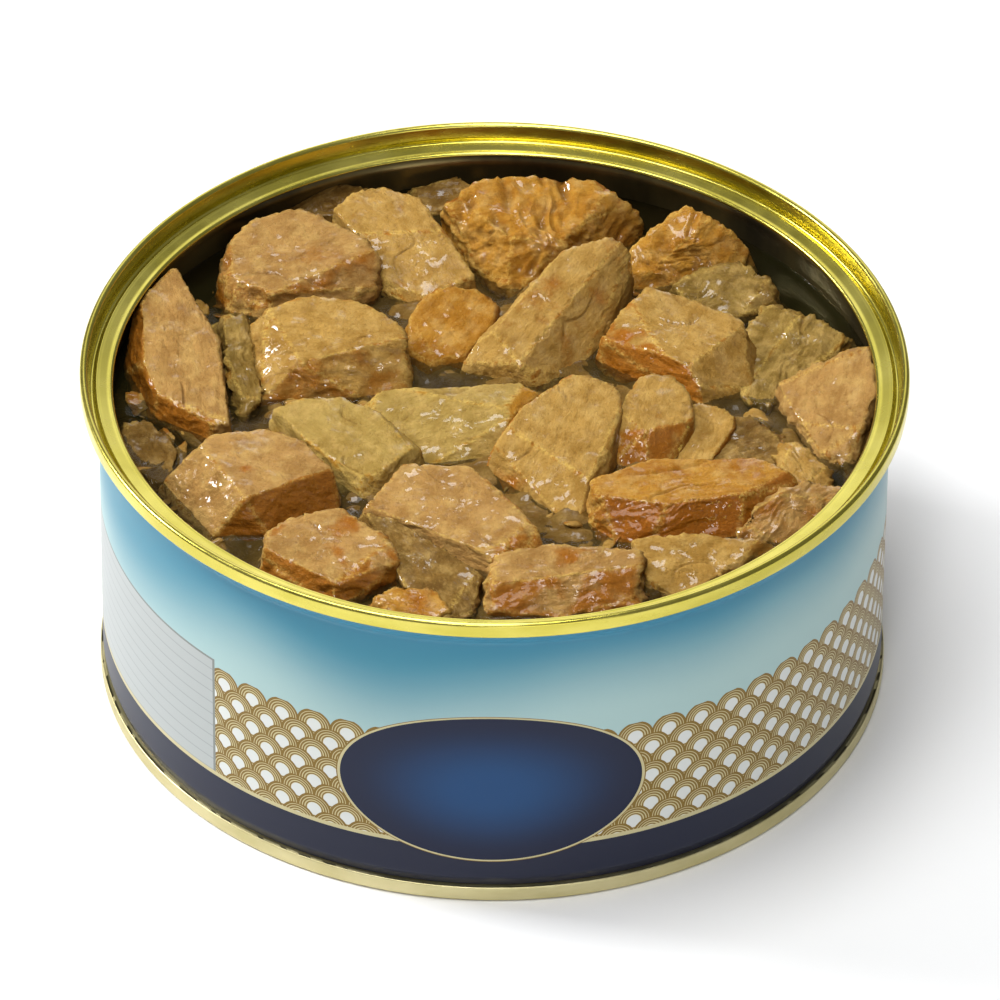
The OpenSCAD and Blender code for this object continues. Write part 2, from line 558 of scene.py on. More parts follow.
@dataclass(frozen=True)
class InnerLacquer:
    """The grey, slightly gold lacquer inside the can."""

    name: str = "inner_lacquer"
    colour: Colour = paint(146, 130, 84)
    stain: Colour = paint(84, 76, 56)
    roughness: float = 0.3

    def material(self) -> bpy.types.Material:
        """Returns a satin metal with soft stains near the filling."""
        board = Board(self.name)
        stains = board.noise(board.stretch(board.place(), (1.0, 1.0, 0.4)), 45.0, 4.0)
        colour = board.mix(board.span(stains, 0.4, 0.62), self.colour, self.stain)
        return board.finish(Base_Color=colour, Metallic=0.85, Roughness=self.roughness)


@dataclass(frozen=True)
class PrintedSteel:
    """The body's print: sky, scale pattern, bare oval field, panel and navy foot."""

    radius: float
    name: str = "printed_steel"
    foot_top: float = 12.6
    rule_top: float = 13.5
    scale_width: float = 6.85
    scale_rows: int = 8
    pattern_top: float = 40.6
    oval_middle: float = 26.9
    oval_half: tuple[float, float] = (29.0, 17.1)
    panel_half: float = 46.3
    panel_line: float = 2.7
    sky_top: float = 60.0
    rings: tuple[tuple[float, float], ...] = ((0.47, 0.028), (0.62, 0.034), (0.77, 0.04), (0.94, 0.07))
    navy: Colour = paint(30, 34, 54)
    gold: Colour = paint(128, 100, 38)
    cream: Colour = paint(196, 186, 142)
    white: Colour = paint(214, 217, 214)
    sky: tuple[Colour, Colour, Colour] = (paint(166, 195, 194), paint(66, 137, 160), paint(44, 114, 148))
    oval_field: tuple[Colour, Colour] = (paint(22, 66, 112), paint(20, 28, 54))
    panel_white: Colour = paint(172, 177, 176)
    panel_rule: Colour = paint(102, 108, 112)
    panel_border: Colour = paint(128, 132, 128)

    def scales(self, board: Board, along: Socket, height: Socket) -> tuple[Socket, Socket]:
        """Draws overlapping half-round scales, each of four thin rings round a bare middle.

        A row's scales are circles one width apart, and each row stands half a width
        above the row below and half a width to its side. A point belongs to the lowest
        row whose circle holds it, and the ring lines follow its distance from that
        circle's middle.

        Args:
            board: The material's nodes.
            along: Distance round the can in mm.
            height: Height on the can in mm.

        Returns:
            The pattern's colour, and 1 where the pattern covers the ground.
        """
        width = self.scale_width
        pitch = (self.pattern_top - self.rule_top) / self.scale_rows
        level = board.math("DIVIDE", board.math("SUBTRACT", height, self.rule_top - pitch * 0.4), pitch)
        row = board.math("FLOOR", level)
        reach = width * 0.53
        found = []
        for above in (0.0, 1.0):
            this = board.math("ADD", row, above)
            parity = board.math("FLOORED_MODULO", this, 2.0)
            shifted = board.math("MULTIPLY_ADD", parity, width / 2.0, along)
            across = board.math("SUBTRACT", board.math("FLOORED_MODULO", shifted, width), width / 2.0)
            rise = board.math("MULTIPLY", board.math("SUBTRACT", level, this), pitch)
            square = board.math("ADD", board.math("POWER", across, 2.0), board.math("POWER", rise, 2.0))
            found.append((board.math("DIVIDE", board.math("SQRT", square), reach), this))
        inside = board.math("LESS_THAN", found[0][0], 1.0)
        away = board.math("ADD", board.math("MULTIPLY", found[0][0], inside),
                          board.math("MULTIPLY", found[1][0], board.math("SUBTRACT", 1.0, inside)))
        owner = board.math("ADD", row, board.math("SUBTRACT", 1.0, inside))
        colour = board.mix(board.span(away, 0.38, 0.43), self.white, self.cream)
        for middle, half in self.rings:
            ring = board.math("ABSOLUTE", board.math("SUBTRACT", away, middle))
            colour = board.mix(board.span(ring, half, half + 0.02, 1.0, 0.0), colour, self.gold)
        colour = board.mix(board.math("GREATER_THAN", away, 1.0), colour, self.gold)
        within = board.math("LESS_THAN", away, 1.0)
        lower = board.math("LESS_THAN", owner, self.scale_rows - 0.5)
        return colour, board.math("MULTIPLY", lower, within)

    def material(self) -> bpy.types.Material:
        """Returns the print, laid out by angle round the can and height on it."""
        board = Board(self.name)
        vector = board.place()
        x, y, z = board.parts(vector)
        angle = board.math("ARCTAN2", x, board.math("MULTIPLY", y, -1.0))
        along = board.math("MULTIPLY", angle, self.radius)
        height = board.math("MULTIPLY", z, 1000.0)
        cloud = board.noise(board.stretch(vector, (1.0, 1.0, 0.5)), 16.0, 1.0)
        lifted = board.math("MULTIPLY_ADD", board.math("SUBTRACT", cloud, 0.5), -26.0, height)
        low, high, highest = self.sky
        sky = board.mix(board.span(lifted, self.pattern_top - 2.0, self.sky_top), low, high)
        deep = board.span(height, self.sky_top - 6.0, self.sky_top + 6.0, 0.0, 0.55)
        colour = board.mix(deep, sky, highest)
        pattern, cover = self.scales(board, along, height)
        colour = board.mix(cover, colour, pattern)
        colour = self.panel(board, colour, angle, height)
        rule = board.math("LESS_THAN", height, self.rule_top)
        colour = board.mix(rule, colour, self.cream)
        foot = board.math("LESS_THAN", height, self.foot_top)
        colour = board.mix(foot, colour, self.navy)
        colour = self.oval(board, colour, along, height)
        return board.finish(Base_Color=colour, Roughness=0.4, Specular_IOR_Level=0.2,
                            Coat_Weight=0.06, Coat_Roughness=0.1)

    def oval(self, board: Board, ground: Socket, along: Socket, height: Socket) -> Socket:
        """Lays the bare oval field, edged with a cream line, over the front and the back.

        The field is where the squares of the two distances from its middle, each over
        its half size, add up to under one.

        Args:
            board: The material's nodes.
            ground: The colour under it.
            along: Distance round the can in mm.
            height: Height on the can in mm.

        Returns:
            The colour with the oval laid on.
        """
        half_round = math.pi * self.radius
        turned_to = board.math("ADD", along, half_round / 2.0)
        within = board.math("FLOORED_MODULO", turned_to, half_round)
        wrapped = board.math("SUBTRACT", within, half_round / 2.0)
        across = board.math("POWER", board.math("DIVIDE", wrapped, self.oval_half[0]), 2.0)
        rise = board.math("DIVIDE", board.math("SUBTRACT", height, self.oval_middle), self.oval_half[1])
        away = board.math("SQRT", board.math("ADD", across, board.math("POWER", rise, 2.0)))
        field_colour = board.mix(board.span(away, 0.15, 0.95), *self.oval_field)
        colour = board.mix(board.math("LESS_THAN", away, 1.024), ground, self.gold)
        colour = board.mix(board.math("LESS_THAN", away, 1.016), colour, self.cream)
        return board.mix(board.math("LESS_THAN", away, 0.997), colour, field_colour)

    def panel(self, board: Board, ground: Socket, angle: Socket, height: Socket) -> Socket:
        """Lays the white side panel with plain thin rules over the pattern.

        Args:
            board: The material's nodes.
            ground: The colour under it.
            angle: Angle round the can in radians.
            height: Height on the can in mm.

        Returns:
            The colour with the panel laid on.
        """
        middle = -math.pi / 2.0
        half = math.radians(self.panel_half)
        away = board.math("ABSOLUTE", board.math("SUBTRACT", angle, middle))
        low = board.math("LESS_THAN", height, self.pattern_top)
        inside = board.math("MULTIPLY", board.math("LESS_THAN", away, half), low)
        step = board.math("FLOORED_MODULO", board.math("SUBTRACT", height, self.rule_top), self.panel_line)
        rule = board.span(step, 0.18, 0.3, 0.35, 0.0)
        colour = board.mix(rule, self.panel_white, self.panel_rule)
        edge = board.math("GREATER_THAN", away, half - 0.008)
        top = board.math("GREATER_THAN", height, self.pattern_top - 0.5)
        colour = board.mix(board.math("MAXIMUM", edge, top), colour, self.panel_border)
        return board.mix(inside, ground, colour)


@dataclass(frozen=True)
class DarkOil:
    """Clear oil with an olive tint of its own, painted nearly black as shade for the deep gaps under it,
    with a sharp gloss.
    """

    name: str = "oil"
    # Near-black painted shade over the sunk flesh, with the oil's own olive tint.
    colour: Colour = paint(34, 28, 12)
    cloud: Colour = paint(44, 42, 20)
    cover: float = 0.42
    roughness: float = 0.04

    def material(self) -> bpy.types.Material:
        """Returns a thin glossy film, dark with painted shade, that lets some of what is sunk show."""
        board = Board(self.name)
        swirl = board.noise(board.place(), 55.0, 3.0)
        colour = board.mix(board.span(swirl, 0.35, 0.65), self.colour, self.cloud)
        return board.finish(Base_Color=colour, Roughness=self.roughness, IOR=1.47, Alpha=self.cover,
                            Specular_IOR_Level=0.15)


class Tone(Enum):
    """The colours of cooked tuna: light, deep, and browned at the edges."""

    ROSE = (paint(180, 138, 77), paint(146, 106, 52), paint(156, 92, 8))
    TAN = (paint(183, 143, 72), paint(147, 108, 42), paint(158, 92, 6))
    AMBER = (paint(184, 132, 46), paint(152, 96, 18), paint(148, 82, 0))
    STRAW = (paint(176, 147, 78), paint(148, 118, 52), paint(174, 118, 20))
    OLIVE = (paint(148, 120, 58), paint(112, 85, 30), paint(130, 84, 12))
    # Painted shade: a darker tuna for low pieces in the gaps, under the oil and by the walls.
    UMBER = (paint(132, 99, 44), paint(95, 67, 23), paint(110, 66, 8))


@dataclass(frozen=True)
class Flesh:
    """Oily cooked tuna: fibre streaks, browned sides and edges, wet gloss, with a painted highlight on the
    edges and painted shade in creases, on faces turned right and under the oil.
    """

    tone: Tone
    oil_level: float
    sunk_depth: float = 7.0
    sunk_rise: float = 0.8
    cream: Colour = paint(214, 178, 106)
    # Pale yellow painted highlight laid along the chunks' edges.
    painted_edge_highlight: Colour = paint(222, 186, 96)
    fleck: Colour = paint(214, 176, 104)
    pit: Colour = paint(108, 68, 20)
    # Dark brown painted shade laid in creases, tears and folds.
    painted_crease_shade: Colour = paint(88, 52, 12)
    shadow: Colour = paint(92, 58, 18)
    # Painted shade for flesh under the oil, deepest well below its level.
    painted_sunk_shade: Colour = paint(52, 38, 10)

    def material(self) -> bpy.types.Material:
        """Returns the flesh, which reads each chunk's own grain, marks and painted light.

        Layers of colour lie over each other in order, each with its own cover. The marks
        hold the browning, the nearness to an edge, which gets a painted highlight, the depth
        in a crease, which gets painted shade, and each face's painted shade.
        """
        board = Board("tuna_" + self.tone.name.lower())
        light, deep, brown = self.tone.value
        grain = board.attribute("grain").outputs["Vector"]
        marks_and_painted_light = board.attribute("marks_and_painted_light")
        split = board.nodes.new("ShaderNodeSeparateColor")
        board.feed(marks_and_painted_light.outputs["Color"], split.inputs[0])
        sear, edge, crease_shade_mask = split.outputs
        height = board.parts(board.place())[2]
        low, high = (self.oil_level - self.sunk_depth) * MM, (self.oil_level + self.sunk_rise) * MM
        sunk = board.span(height, low, high, 1.0, 0.0)
        fibre = board.noise(board.stretch(grain, (0.22, 0.8, 0.8)), 1.0, 4.0, 0.6)
        blotch = board.noise(grain, 0.2, 4.0, 0.6)
        grit = board.noise(grain, 1.7, 5.0, 0.7)
        creamy = board.noise(grain, 0.3, 3.0, 0.6)
        patch = board.span(board.math("MULTIPLY_ADD", blotch, 0.9, sear), 0.72, 1.15)
        colour = board.mix(board.span(blotch, 0.34, 0.68, 0.0, 0.8), light, deep)
        for cover, over in (
            (board.span(fibre, 0.44, 0.68, 0.0, 0.45), deep),
            (board.span(creamy, 0.42, 0.74, 0.0, 0.4), self.cream),
            (board.math("MULTIPLY", patch, 0.9), brown),
            # Painted highlight: pale yellow along the edges, broken up by the grit.
            (board.math("MULTIPLY", edge, board.span(grit, 0.4, 0.6, 0.1, 0.6)), self.painted_edge_highlight),
            (board.math("MULTIPLY", edge, board.span(fibre, 0.5, 0.62, 0.0, 0.75)), brown),
            (board.span(grit, 0.56, 0.72, 0.0, 0.3), self.fleck),
            (board.span(grit, 0.3, 0.46, 0.4, 0.0), self.pit),
            # Painted shade in the creases, by how deep each point lies in one.
            (board.math("MULTIPLY", crease_shade_mask, 0.7), self.painted_crease_shade),
            # Painted shade on each face, strongest on faces that look right.
            (board.math("MULTIPLY", marks_and_painted_light.outputs["Alpha"], 0.6), self.shadow),
            # Painted shade: darker from just above the oil to deep under it.
            (board.math("MULTIPLY", sunk, 0.75), self.painted_sunk_shade),
        ):
            colour = board.mix(cover, colour, over)
        wet = board.noise(grain, 0.28, 2.0, 0.5)
        film = board.math("MAXIMUM", board.span(wet, 0.53, 0.61), board.math("MULTIPLY", sear, 0.5))
        coat = board.math("MULTIPLY", film, board.span(sunk, 0.0, 1.0, 0.9, 0.0))
        normal = board.bump(board.math("MULTIPLY_ADD", fibre, 0.8, grit), 0.0006, 0.8)
        wet_normal = board.bump(board.noise(grain, 0.3, 2.0, 0.5), 0.0005, 0.8)
        return board.finish(Base_Color=colour, Roughness=0.55, Normal=normal, IOR=1.4,
                            Specular_IOR_Level=0.12, Subsurface_Weight=0.1,
                            Subsurface_Radius=(1.0, 0.65, 0.3), Subsurface_Scale=0.001,
                            Coat_Weight=coat, Coat_Roughness=0.06, Coat_Normal=wet_normal)


@dataclass
class Can:
    """The printed body, the base end and the ring of the opened end."""

    wall: float = 0.5
    sheet: float = 0.35
    seam_wall: float = 1.5
    seam_round: float = 0.75
    neck_in: float = 0.7
    neck_height: float = 2.6
    flare_height: float = 4.8
    ledge_drop: float = 3.3
    ledge_width: float = 3.2
    groove_width: float = 1.6
    panel_height: float = 3.6
    ring_rise: float = 0.6
    ring_count: int = 3
    steps: int = 360
    height: float = field(init=False)
    seam_radius: float = field(init=False)
    base_radius: float = field(init=False)
    seam_low: float = field(init=False)
    base_seam: float = field(init=False)

    def __post_init__(self) -> None:
        """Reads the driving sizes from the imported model's nodes."""
        ring_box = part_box("top_ring")
        base_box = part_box("base_end")
        body_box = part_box("can_body")
        self.height = ring_box[1].z / MM
        self.seam_radius = ring_box[1].x / MM
        self.base_radius = base_box[1].x / MM
        self.seam_low = body_box[1].z / MM
        self.base_seam = body_box[0].z / MM

    @property
    def body_radius(self) -> float:
        """Returns the outside radius of the printed wall."""
        return self.base_radius - 0.5

    @property
    def chuck_radius(self) -> float:
        """Returns the inside radius of the top seam."""
        return self.seam_radius - self.seam_wall

    def body(self) -> bpy.types.Object:
        """Builds the wall: necked at the foot, flared at the top, a ring of thin section.

        Returns:
            The body, printed outside and lacquered inside.
        """
        radius, wall = self.body_radius, self.wall
        outside = np.concatenate([
            eased((radius - self.neck_in, self.base_seam), (radius, self.base_seam + self.neck_height)),
            line((radius, self.base_seam + self.neck_height + 1.0),
                 (radius, self.seam_low - self.flare_height - 1.0), 24),
            eased((radius, self.seam_low - self.flare_height), (self.chuck_radius + 0.8, self.seam_low)),
        ])
        inside = outside[::-1] - np.array([wall, 0.0])
        piece = Surface("can_body_print")
        outer = piece.grid(turned(outside[::-1], self.steps), False, True, 0)
        inner = piece.grid(turned(inside[::-1], self.steps), False, True, 1)
        for first, second in ((inner[-1], outer[0]), (outer[-1], inner[0])):
            ahead = np.roll(first, -1), np.roll(second, -1)
            piece.add_quads(np.stack([first, second, ahead[1], ahead[0]], -1), 1)
        body = piece.build([PrintedSteel(radius).material(), InnerLacquer().material()])
        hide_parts("can_body")
        return body

    def ring(self, gold: bpy.types.Material) -> bpy.types.Object:
        """Builds the top seam with the chuck wall, groove, ledge and turned cut edge.

        Args:
            gold: The lacquered metal.

        Returns:
            The ring, one closed section carried round the axis.
        """
        chuck, top = self.chuck_radius, self.height
        bend = self.seam_round
        ledge_edge = chuck - self.groove_width
        cut = ledge_edge - self.ledge_width
        ledge = top - self.ledge_drop
        section = np.concatenate([
            arc((self.seam_radius - 0.3, self.seam_low + 0.3), 0.3, -80, 0, 6),
            arc((self.seam_radius - bend, top - bend), bend, 0, 90, 12),
            arc((chuck + bend, top - bend), bend, 90, 180, 12),
            line((chuck - 0.05, top - bend - 0.3), (chuck - 0.38, ledge + 0.3), 6),
            arc((chuck - self.groove_width / 2.0, ledge), self.groove_width / 2.0 - 0.2, 0, -180, 16),
            arc((ledge_edge - 0.1, ledge - 0.05), 0.3, 60, 110, 5),
            line((ledge_edge - 0.6, ledge + 0.18), (cut + 1.2, ledge - 0.08), 8),
            arc((cut + 0.6, ledge - 0.7), 0.6, 75, 180, 10),
            line((cut + 0.3, ledge - 0.9), (cut + 1.2, ledge - 0.1 - self.sheet), 4),
            line((cut + 1.6, ledge - 0.12 - self.sheet), (ledge_edge - 0.4, ledge - self.sheet), 5),
            line((ledge_edge, ledge - 0.9), (chuck - 0.4, ledge - 0.94), 5),
            line((chuck - 0.4 + self.sheet, ledge), (chuck - 0.4 + self.sheet, self.seam_low), 3),
        ])
        piece = Surface("top_ring_gold")
        piece.grid(turned(section[::-1], self.steps), True, True)
        ring = piece.build([gold])
        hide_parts("top_ring")
        return ring

    def base(self, gold: bpy.types.Material) -> bpy.types.Object:
        """Builds the bottom seam and the countersunk panel with its raised rings.

        The panel's height is its level plus half the rings' rise times one minus the
        cosine of the distance from the rim over the rings' pitch.

        Args:
            gold: The lacquered metal.

        Returns:
            The base end, closed at the middle above and below.
        """
        outer = self.base_radius
        chuck = self.body_radius - self.neck_in - self.wall - 0.05
        bend = self.seam_round
        pitch = chuck / (2.0 * self.ring_count + 3.0)
        radius = np.linspace(chuck - pitch * (2 * self.ring_count + 1), chuck - pitch, 24 * self.ring_count)
        wave = (1.0 - np.cos(2.0 * np.pi * (chuck - pitch - radius) / (2.0 * pitch))) / 2.0
        panel = np.stack([radius, self.panel_height + self.ring_rise * wave], -1)
        up = np.array([0.0, self.sheet])
        section = np.concatenate([
            np.array([[0.4, self.panel_height + self.sheet]]),
            panel + up,
            line((chuck - 0.6, self.panel_height + self.sheet), (chuck, self.panel_height + self.sheet), 3),
            line((chuck, self.base_seam - 0.02), (outer - 0.2, self.base_seam - 0.02), 4),
            arc((outer - 0.25, self.base_seam - 0.27), 0.25, 90, 0, 6),
            arc((outer - bend, bend), bend, 0, -90, 12),
            arc((chuck - self.sheet + bend, bend), bend, -90, -180, 12),
            line((chuck - self.sheet, 1.4), (chuck - self.sheet, self.panel_height - 0.3), 4),
            arc((chuck - self.sheet - 0.3, self.panel_height - 0.3), 0.3, 0, 90, 6),
            panel[::-1],
            np.array([[0.4, self.panel_height]]),
        ])
        piece = Surface("base_end_gold")
        index = piece.grid(turned(section, self.steps), False, True)
        piece.fan(index[0], np.array([0.0, 0.0, self.panel_height + self.sheet]))
        piece.fan(index[-1][::-1], np.array([0.0, 0.0, self.panel_height]))
        base = piece.build([gold])
        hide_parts("base_end")
        return base


@dataclass(frozen=True)
class Cut:
    """How one chunk is cut and looks.

    Its corners are places on the can in mm: those of its top faces, and
    those where its sloping sides meet the oil. Without any, it keeps its node's corners.
    The side that is browned most faces browned_to, in degrees from the can's right.
    """

    tone: Tone
    corners: tuple[Corner, ...] = ()
    browned_to: float = -90.0
    browned: float = 0.4
    torn: float = 0.3
    wrinkled: float = 0.0


CUTS: tuple[Cut, ...] = (
    Cut(Tone.TAN, browned_to=-100, browned=0.3, torn=0.12, corners=(
        (-6, 15, 58), (-3, 18, 61), (4, 26, 64), (10, 36, 65.5), (15.5, 41, 66.5), (22, 44, 66),
        (26, 42, 65), (25.5, 37, 61.5), (17, 17, 56), (9.5, 10, 56), (1, 12.5, 57), (4.5, 11.5, 60.5),
        (19, 36.5, 65.5))),
    Cut(Tone.TAN, browned_to=-140, browned=1.0, torn=0.25, corners=(
        (20, 19, 61), (25, 25, 64), (29.5, 30, 65), (34.5, 29, 65), (47.5, 20.5, 63.5), (30, 17, 63),
        (37, 9.5, 61.5), (21.5, 17, 56.5), (37.5, 9, 56), (40, 4.5, 56), (49, 9, 56), (50, 20.5, 58))),
    Cut(Tone.TAN, browned_to=-75, browned=0.35, torn=0.35, corners=(
        (-43.5, 24, 64), (-36.5, 27.5, 64.5), (-27.5, 26, 64.5), (-18, 20.5, 63.5), (-17, 14, 62),
        (-37, 9, 62.5), (-47, 24, 60), (-48, 16, 56), (-45, 4.5, 56), (-37, 5, 56), (-17, 8, 56))),
    Cut(Tone.ROSE, browned_to=-145, browned=1.0, torn=0.3, corners=(
        (-69, 27.5, 62), (-65.5, 34, 63), (-61.5, 35.5, 63), (-58, 28, 63), (-53, 16, 62.5),
        (-50, -6.5, 60), (-53.5, -7, 59.5), (-61.5, -1.5, 61), (-67, 8.5, 61.5), (-70, 15, 56),
        (-65.5, 2, 56), (-56, -6, 56))),
    Cut(Tone.ROSE, browned_to=-60, browned=0.9, torn=0.2, corners=(
        (-53.5, -15.5, 64), (-42.5, -13.5, 64), (-36, -16.5, 63), (-29.5, -26, 61.5),
        (-46.5, -34.5, 63.5), (-57, -17.5, 61), (-62.5, -21, 56), (-53, -37, 56), (-41.5, -36, 56),
        (-30, -29, 56))),
    Cut(Tone.AMBER, browned_to=95, browned=0.9, torn=0.35, wrinkled=0.9, corners=(
        (-10.5, 58, 64), (-6.5, 60, 65), (0, 59.5, 66), (5, 62.5, 67), (18, 62.5, 66.5), (22, 59.5, 66),
        (28, 59.5, 60), (27, 57, 57), (-7, 52.5, 62), (3, 47, 63.5), (13, 47, 63.5), (-3, 45, 57),
        (4, 40.5, 56), (14, 44, 57))),
    Cut(Tone.ROSE, browned_to=-125, browned=0.5, torn=0.5, corners=(
        (-51, 46.5, 64), (-47, 51.5, 64.5), (-38, 54, 65), (-27, 47.5, 64.5), (-22.5, 42.5, 63),
        (-23.5, 37, 59), (-33.5, 35.5, 61), (-43, 32, 61.5), (-51.5, 36, 61.5), (-53.5, 39, 59),
        (-51, 33, 56), (-43, 29, 56))),
    Cut(Tone.TAN, browned_to=165, browned=0.9, torn=0.15, corners=(
        (0, -14, 60.5), (4, -7, 62.5), (9, -1.5, 63.5), (14, 4, 64), (20, 3, 64), (23.5, 0, 63.5),
        (24, -5.5, 62.5), (22.5, -13, 61), (18, -23.5, 60), (-0.5, -15, 56.5), (4.5, -22, 56),
        (10.5, -28.5, 56), (15, -33, 56), (20, -24, 56.5))),
    Cut(Tone.ROSE, browned_to=-30, browned=0.9, torn=0.15, corners=(
        (-24, -32.5, 60), (-19.5, -27, 62.5), (-15.5, -24, 63.5), (-4, -26, 64), (-0.5, -30, 64),
        (3, -35, 63.5), (8.5, -40.5, 62), (9.5, -43.5, 60), (0, -46.5, 60), (3, -46, 56), (-9.5, -42, 57),
        (-17.5, -36, 57))),
    Cut(Tone.AMBER, browned_to=-85, browned=0.8, torn=0.3, corners=(
        (18, -26.5, 62), (25, -22.5, 62.5), (40, -23.5, 62), (52.5, -21, 62.5), (57, -24, 61),
        (47, -30.5, 61.5), (32.5, -33, 62), (20, -31, 62), (19, -34, 56), (23.5, -38, 56),
        (31, -38.5, 56), (46, -35.5, 56))),
    Cut(Tone.ROSE, browned_to=-95, browned=1.0, torn=0.4, corners=(
        (-42.5, -42, 61), (-37.5, -38, 62.5), (-27, -36, 62.5), (-24, -40.5, 62.5), (-18.5, -45.5, 61.5),
        (-17, -48.5, 60), (-29.5, -54.5, 59.5), (-43, -46.5, 59.5), (-43.5, -47, 56), (-29.5, -57, 56))),
    Cut(Tone.ROSE, browned_to=60, browned=0.2, torn=0.5, corners=(
        (53, 8.5, 58.5), (59, 7, 60), (66, 12, 62.5), (69, 15, 63), (71.5, 14, 63), (72.5, 0.5, 62),
        (69.5, -8, 61), (66.5, -13, 56), (62.5, -11, 57), (58, -4.5, 58))),
    Cut(Tone.TAN, browned_to=-20, browned=0.4, torn=0.15, corners=(
        (-31.5, 57.5, 62), (-27.5, 62.5, 63.5), (-22, 63.5, 64), (-14.5, 59.5, 64), (-10.5, 50, 63.5),
        (-4, 40, 60), (-13.5, 35.5, 56.5), (-17.5, 36, 56.5), (-22, 41, 59), (-24.5, 49, 61))),
    Cut(Tone.STRAW, browned_to=-110, browned=0.2, torn=0.2, corners=(
        (-41.5, -3.5, 60), (-37, -1.5, 61.5), (-30, -1, 62), (-23.5, -4.5, 62), (-19.5, -8.5, 61.5),
        (-14, -14, 60.5), (-22, -22, 59.5), (-25, -22.5, 59.5), (-33.5, -14.5, 60), (-25, -26, 56),
        (-13.5, -16.5, 56))),
    Cut(Tone.ROSE, browned_to=-90, browned=1.0, torn=0.5, corners=(
        (-1, -53.5, 60), (0.5, -48, 61.5), (9, -46, 62), (22, -46.5, 62), (27.5, -47, 61.5),
        (28, -52, 60), (15.5, -53, 60.5), (0, -55.5, 60), (-1, -60, 56), (10.5, -60.5, 56), (27, -57, 56))),
    Cut(Tone.TAN, browned_to=-60, browned=1.0, torn=0.15, corners=(
        (23, -7, 60.5), (25.5, 1, 62), (28.5, 6, 63), (34, 5.5, 62.5), (37, 1, 62), (37.5, -6, 61),
        (33, -14, 56), (29.5, -16, 56), (22, -14, 56.5), (28.5, -10, 61))),
    Cut(Tone.AMBER, browned_to=60, browned=0.9, torn=0.45, wrinkled=0.8, corners=(
        (25.5, 48, 60), (30, 51, 63), (34, 54, 65), (37, 55, 66.5), (39.5, 53.5, 66), (43.5, 51, 64),
        (49, 49.5, 61), (46, 46, 58), (34, 42, 56), (25.5, 40, 56))),
    Cut(Tone.AMBER, browned_to=0, browned=0.6, torn=0.2, wrinkled=0.25, corners=(
        (-16.5, 25.5, 60), (-14.5, 31, 61.5), (-9.5, 34, 62), (-4, 34.5, 61.5), (0.5, 30.5, 60),
        (-1, 25, 59), (-6, 18, 57.5), (-12, 16, 57), (-16.5, 19.5, 57))),
    Cut(Tone.STRAW, browned_to=-15, browned=0.8, torn=0.15, corners=(
        (-24.5, 2, 59), (-17.5, 3, 61), (-3.5, 4, 61), (5.5, 4.5, 61), (8.5, 3, 60), (3, -5, 60.5),
        (0, -12.5, 56), (-12.5, -15, 56), (-20, -6, 58))),
    Cut(Tone.TAN, browned_to=-70, browned=0.4, torn=0.5, corners=(
        (26, -42, 60.5), (29.5, -41, 61), (44, -41.5, 61), (52, -42.5, 60), (38.5, -52, 57.5),
        (33.5, -54.5, 56), (28.5, -50, 58))),
    Cut(Tone.OLIVE, browned_to=-90, browned=0.2, torn=0.8, corners=(
        (34, 38.5, 59), (38, 40.5, 60), (43.5, 42.5, 61), (49, 42, 61.5), (54, 39, 60), (54, 36, 58),
        (47.5, 32.5, 57), (43.5, 31, 56))),
    Cut(Tone.ROSE, browned_to=-90, browned=0.4, torn=0.9, corners=(
        (45.5, -36, 58), (48.5, -32.5, 60), (54.5, -28, 61), (58.5, -24, 61), (65, -24.5, 60),
        (62, -30, 59), (54.5, -38, 56), (46, -38, 56))),
    Cut(Tone.TAN, browned_to=-90, browned=0.4, torn=0.9, corners=(
        (54, -12, 60), (56.5, -12, 61), (60, -14, 60.5), (62.5, -18, 59.5), (63, -22, 57),
        (57.5, -23, 58), (53.5, -18, 59))),
    Cut(Tone.UMBER, browned_to=-90, browned=0.3, torn=0.4, corners=(
        (-25, -33, 59), (-20.5, -35, 60), (-13, -42, 60.5), (-6.5, -48.5, 60), (-2.5, -53.5, 59),
        (-4, -60, 57), (-9, -62, 57), (-16, -53, 58), (-21, -40, 58.5))),
    Cut(Tone.OLIVE, browned_to=-90, browned=0.15, torn=1.0, corners=(
        (47, 17.5, 57), (49.5, 29, 58), (53.5, 33.5, 59), (60.5, 28, 59.5), (68, 24, 58.5), (67, 21, 57),
        (60.5, 13, 56.5), (53, 6, 56), (48, 6, 56))),
    Cut(Tone.TAN, browned_to=-60, browned=0.9, torn=0.3, corners=(
        (37, 0, 59.5), (39, 1, 60), (45.5, -2, 60), (45.5, -5.5, 59), (40.5, -14, 56.5), (34, -15, 56))),
    Cut(Tone.OLIVE, browned_to=-90, browned=0.2, torn=1.0),
    Cut(Tone.UMBER, browned_to=-90, browned=0.3, torn=0.5, corners=(
        (-42, 65, 59), (-38, 68.5, 60), (-30, 69, 60.5), (-24, 67.5, 60), (-28, 63, 58), (-41, 62, 57))),
    Cut(Tone.UMBER, browned_to=-90, browned=0.3, torn=0.5, corners=(
        (-17, 71, 58.5), (-8.5, 71.5, 60), (-4, 69, 60), (0, 67, 58), (-12, 64, 57))),
    Cut(Tone.UMBER, browned_to=80, browned=0.5, torn=0.6, corners=(
        (38, -15, 56), (45.5, -2, 58), (49.5, 0, 58), (56, -8, 57.5), (54, -15, 56))),
    Cut(Tone.UMBER, browned_to=-90, browned=0.1, torn=0.7, corners=(
        (-70, -2, 56), (-65.5, -2.5, 57), (-59.5, -11, 57), (-61, -21, 55.5), (-65, -20, 56),
        (-70, -10.5, 56))),
    Cut(Tone.AMBER, browned_to=-90, browned=0.4, torn=0.7, corners=(
        (-22, -57, 58.5), (-18, -54.5, 59), (-10, -56.5, 59), (-8, -61, 58), (-15, -64, 57))),
)


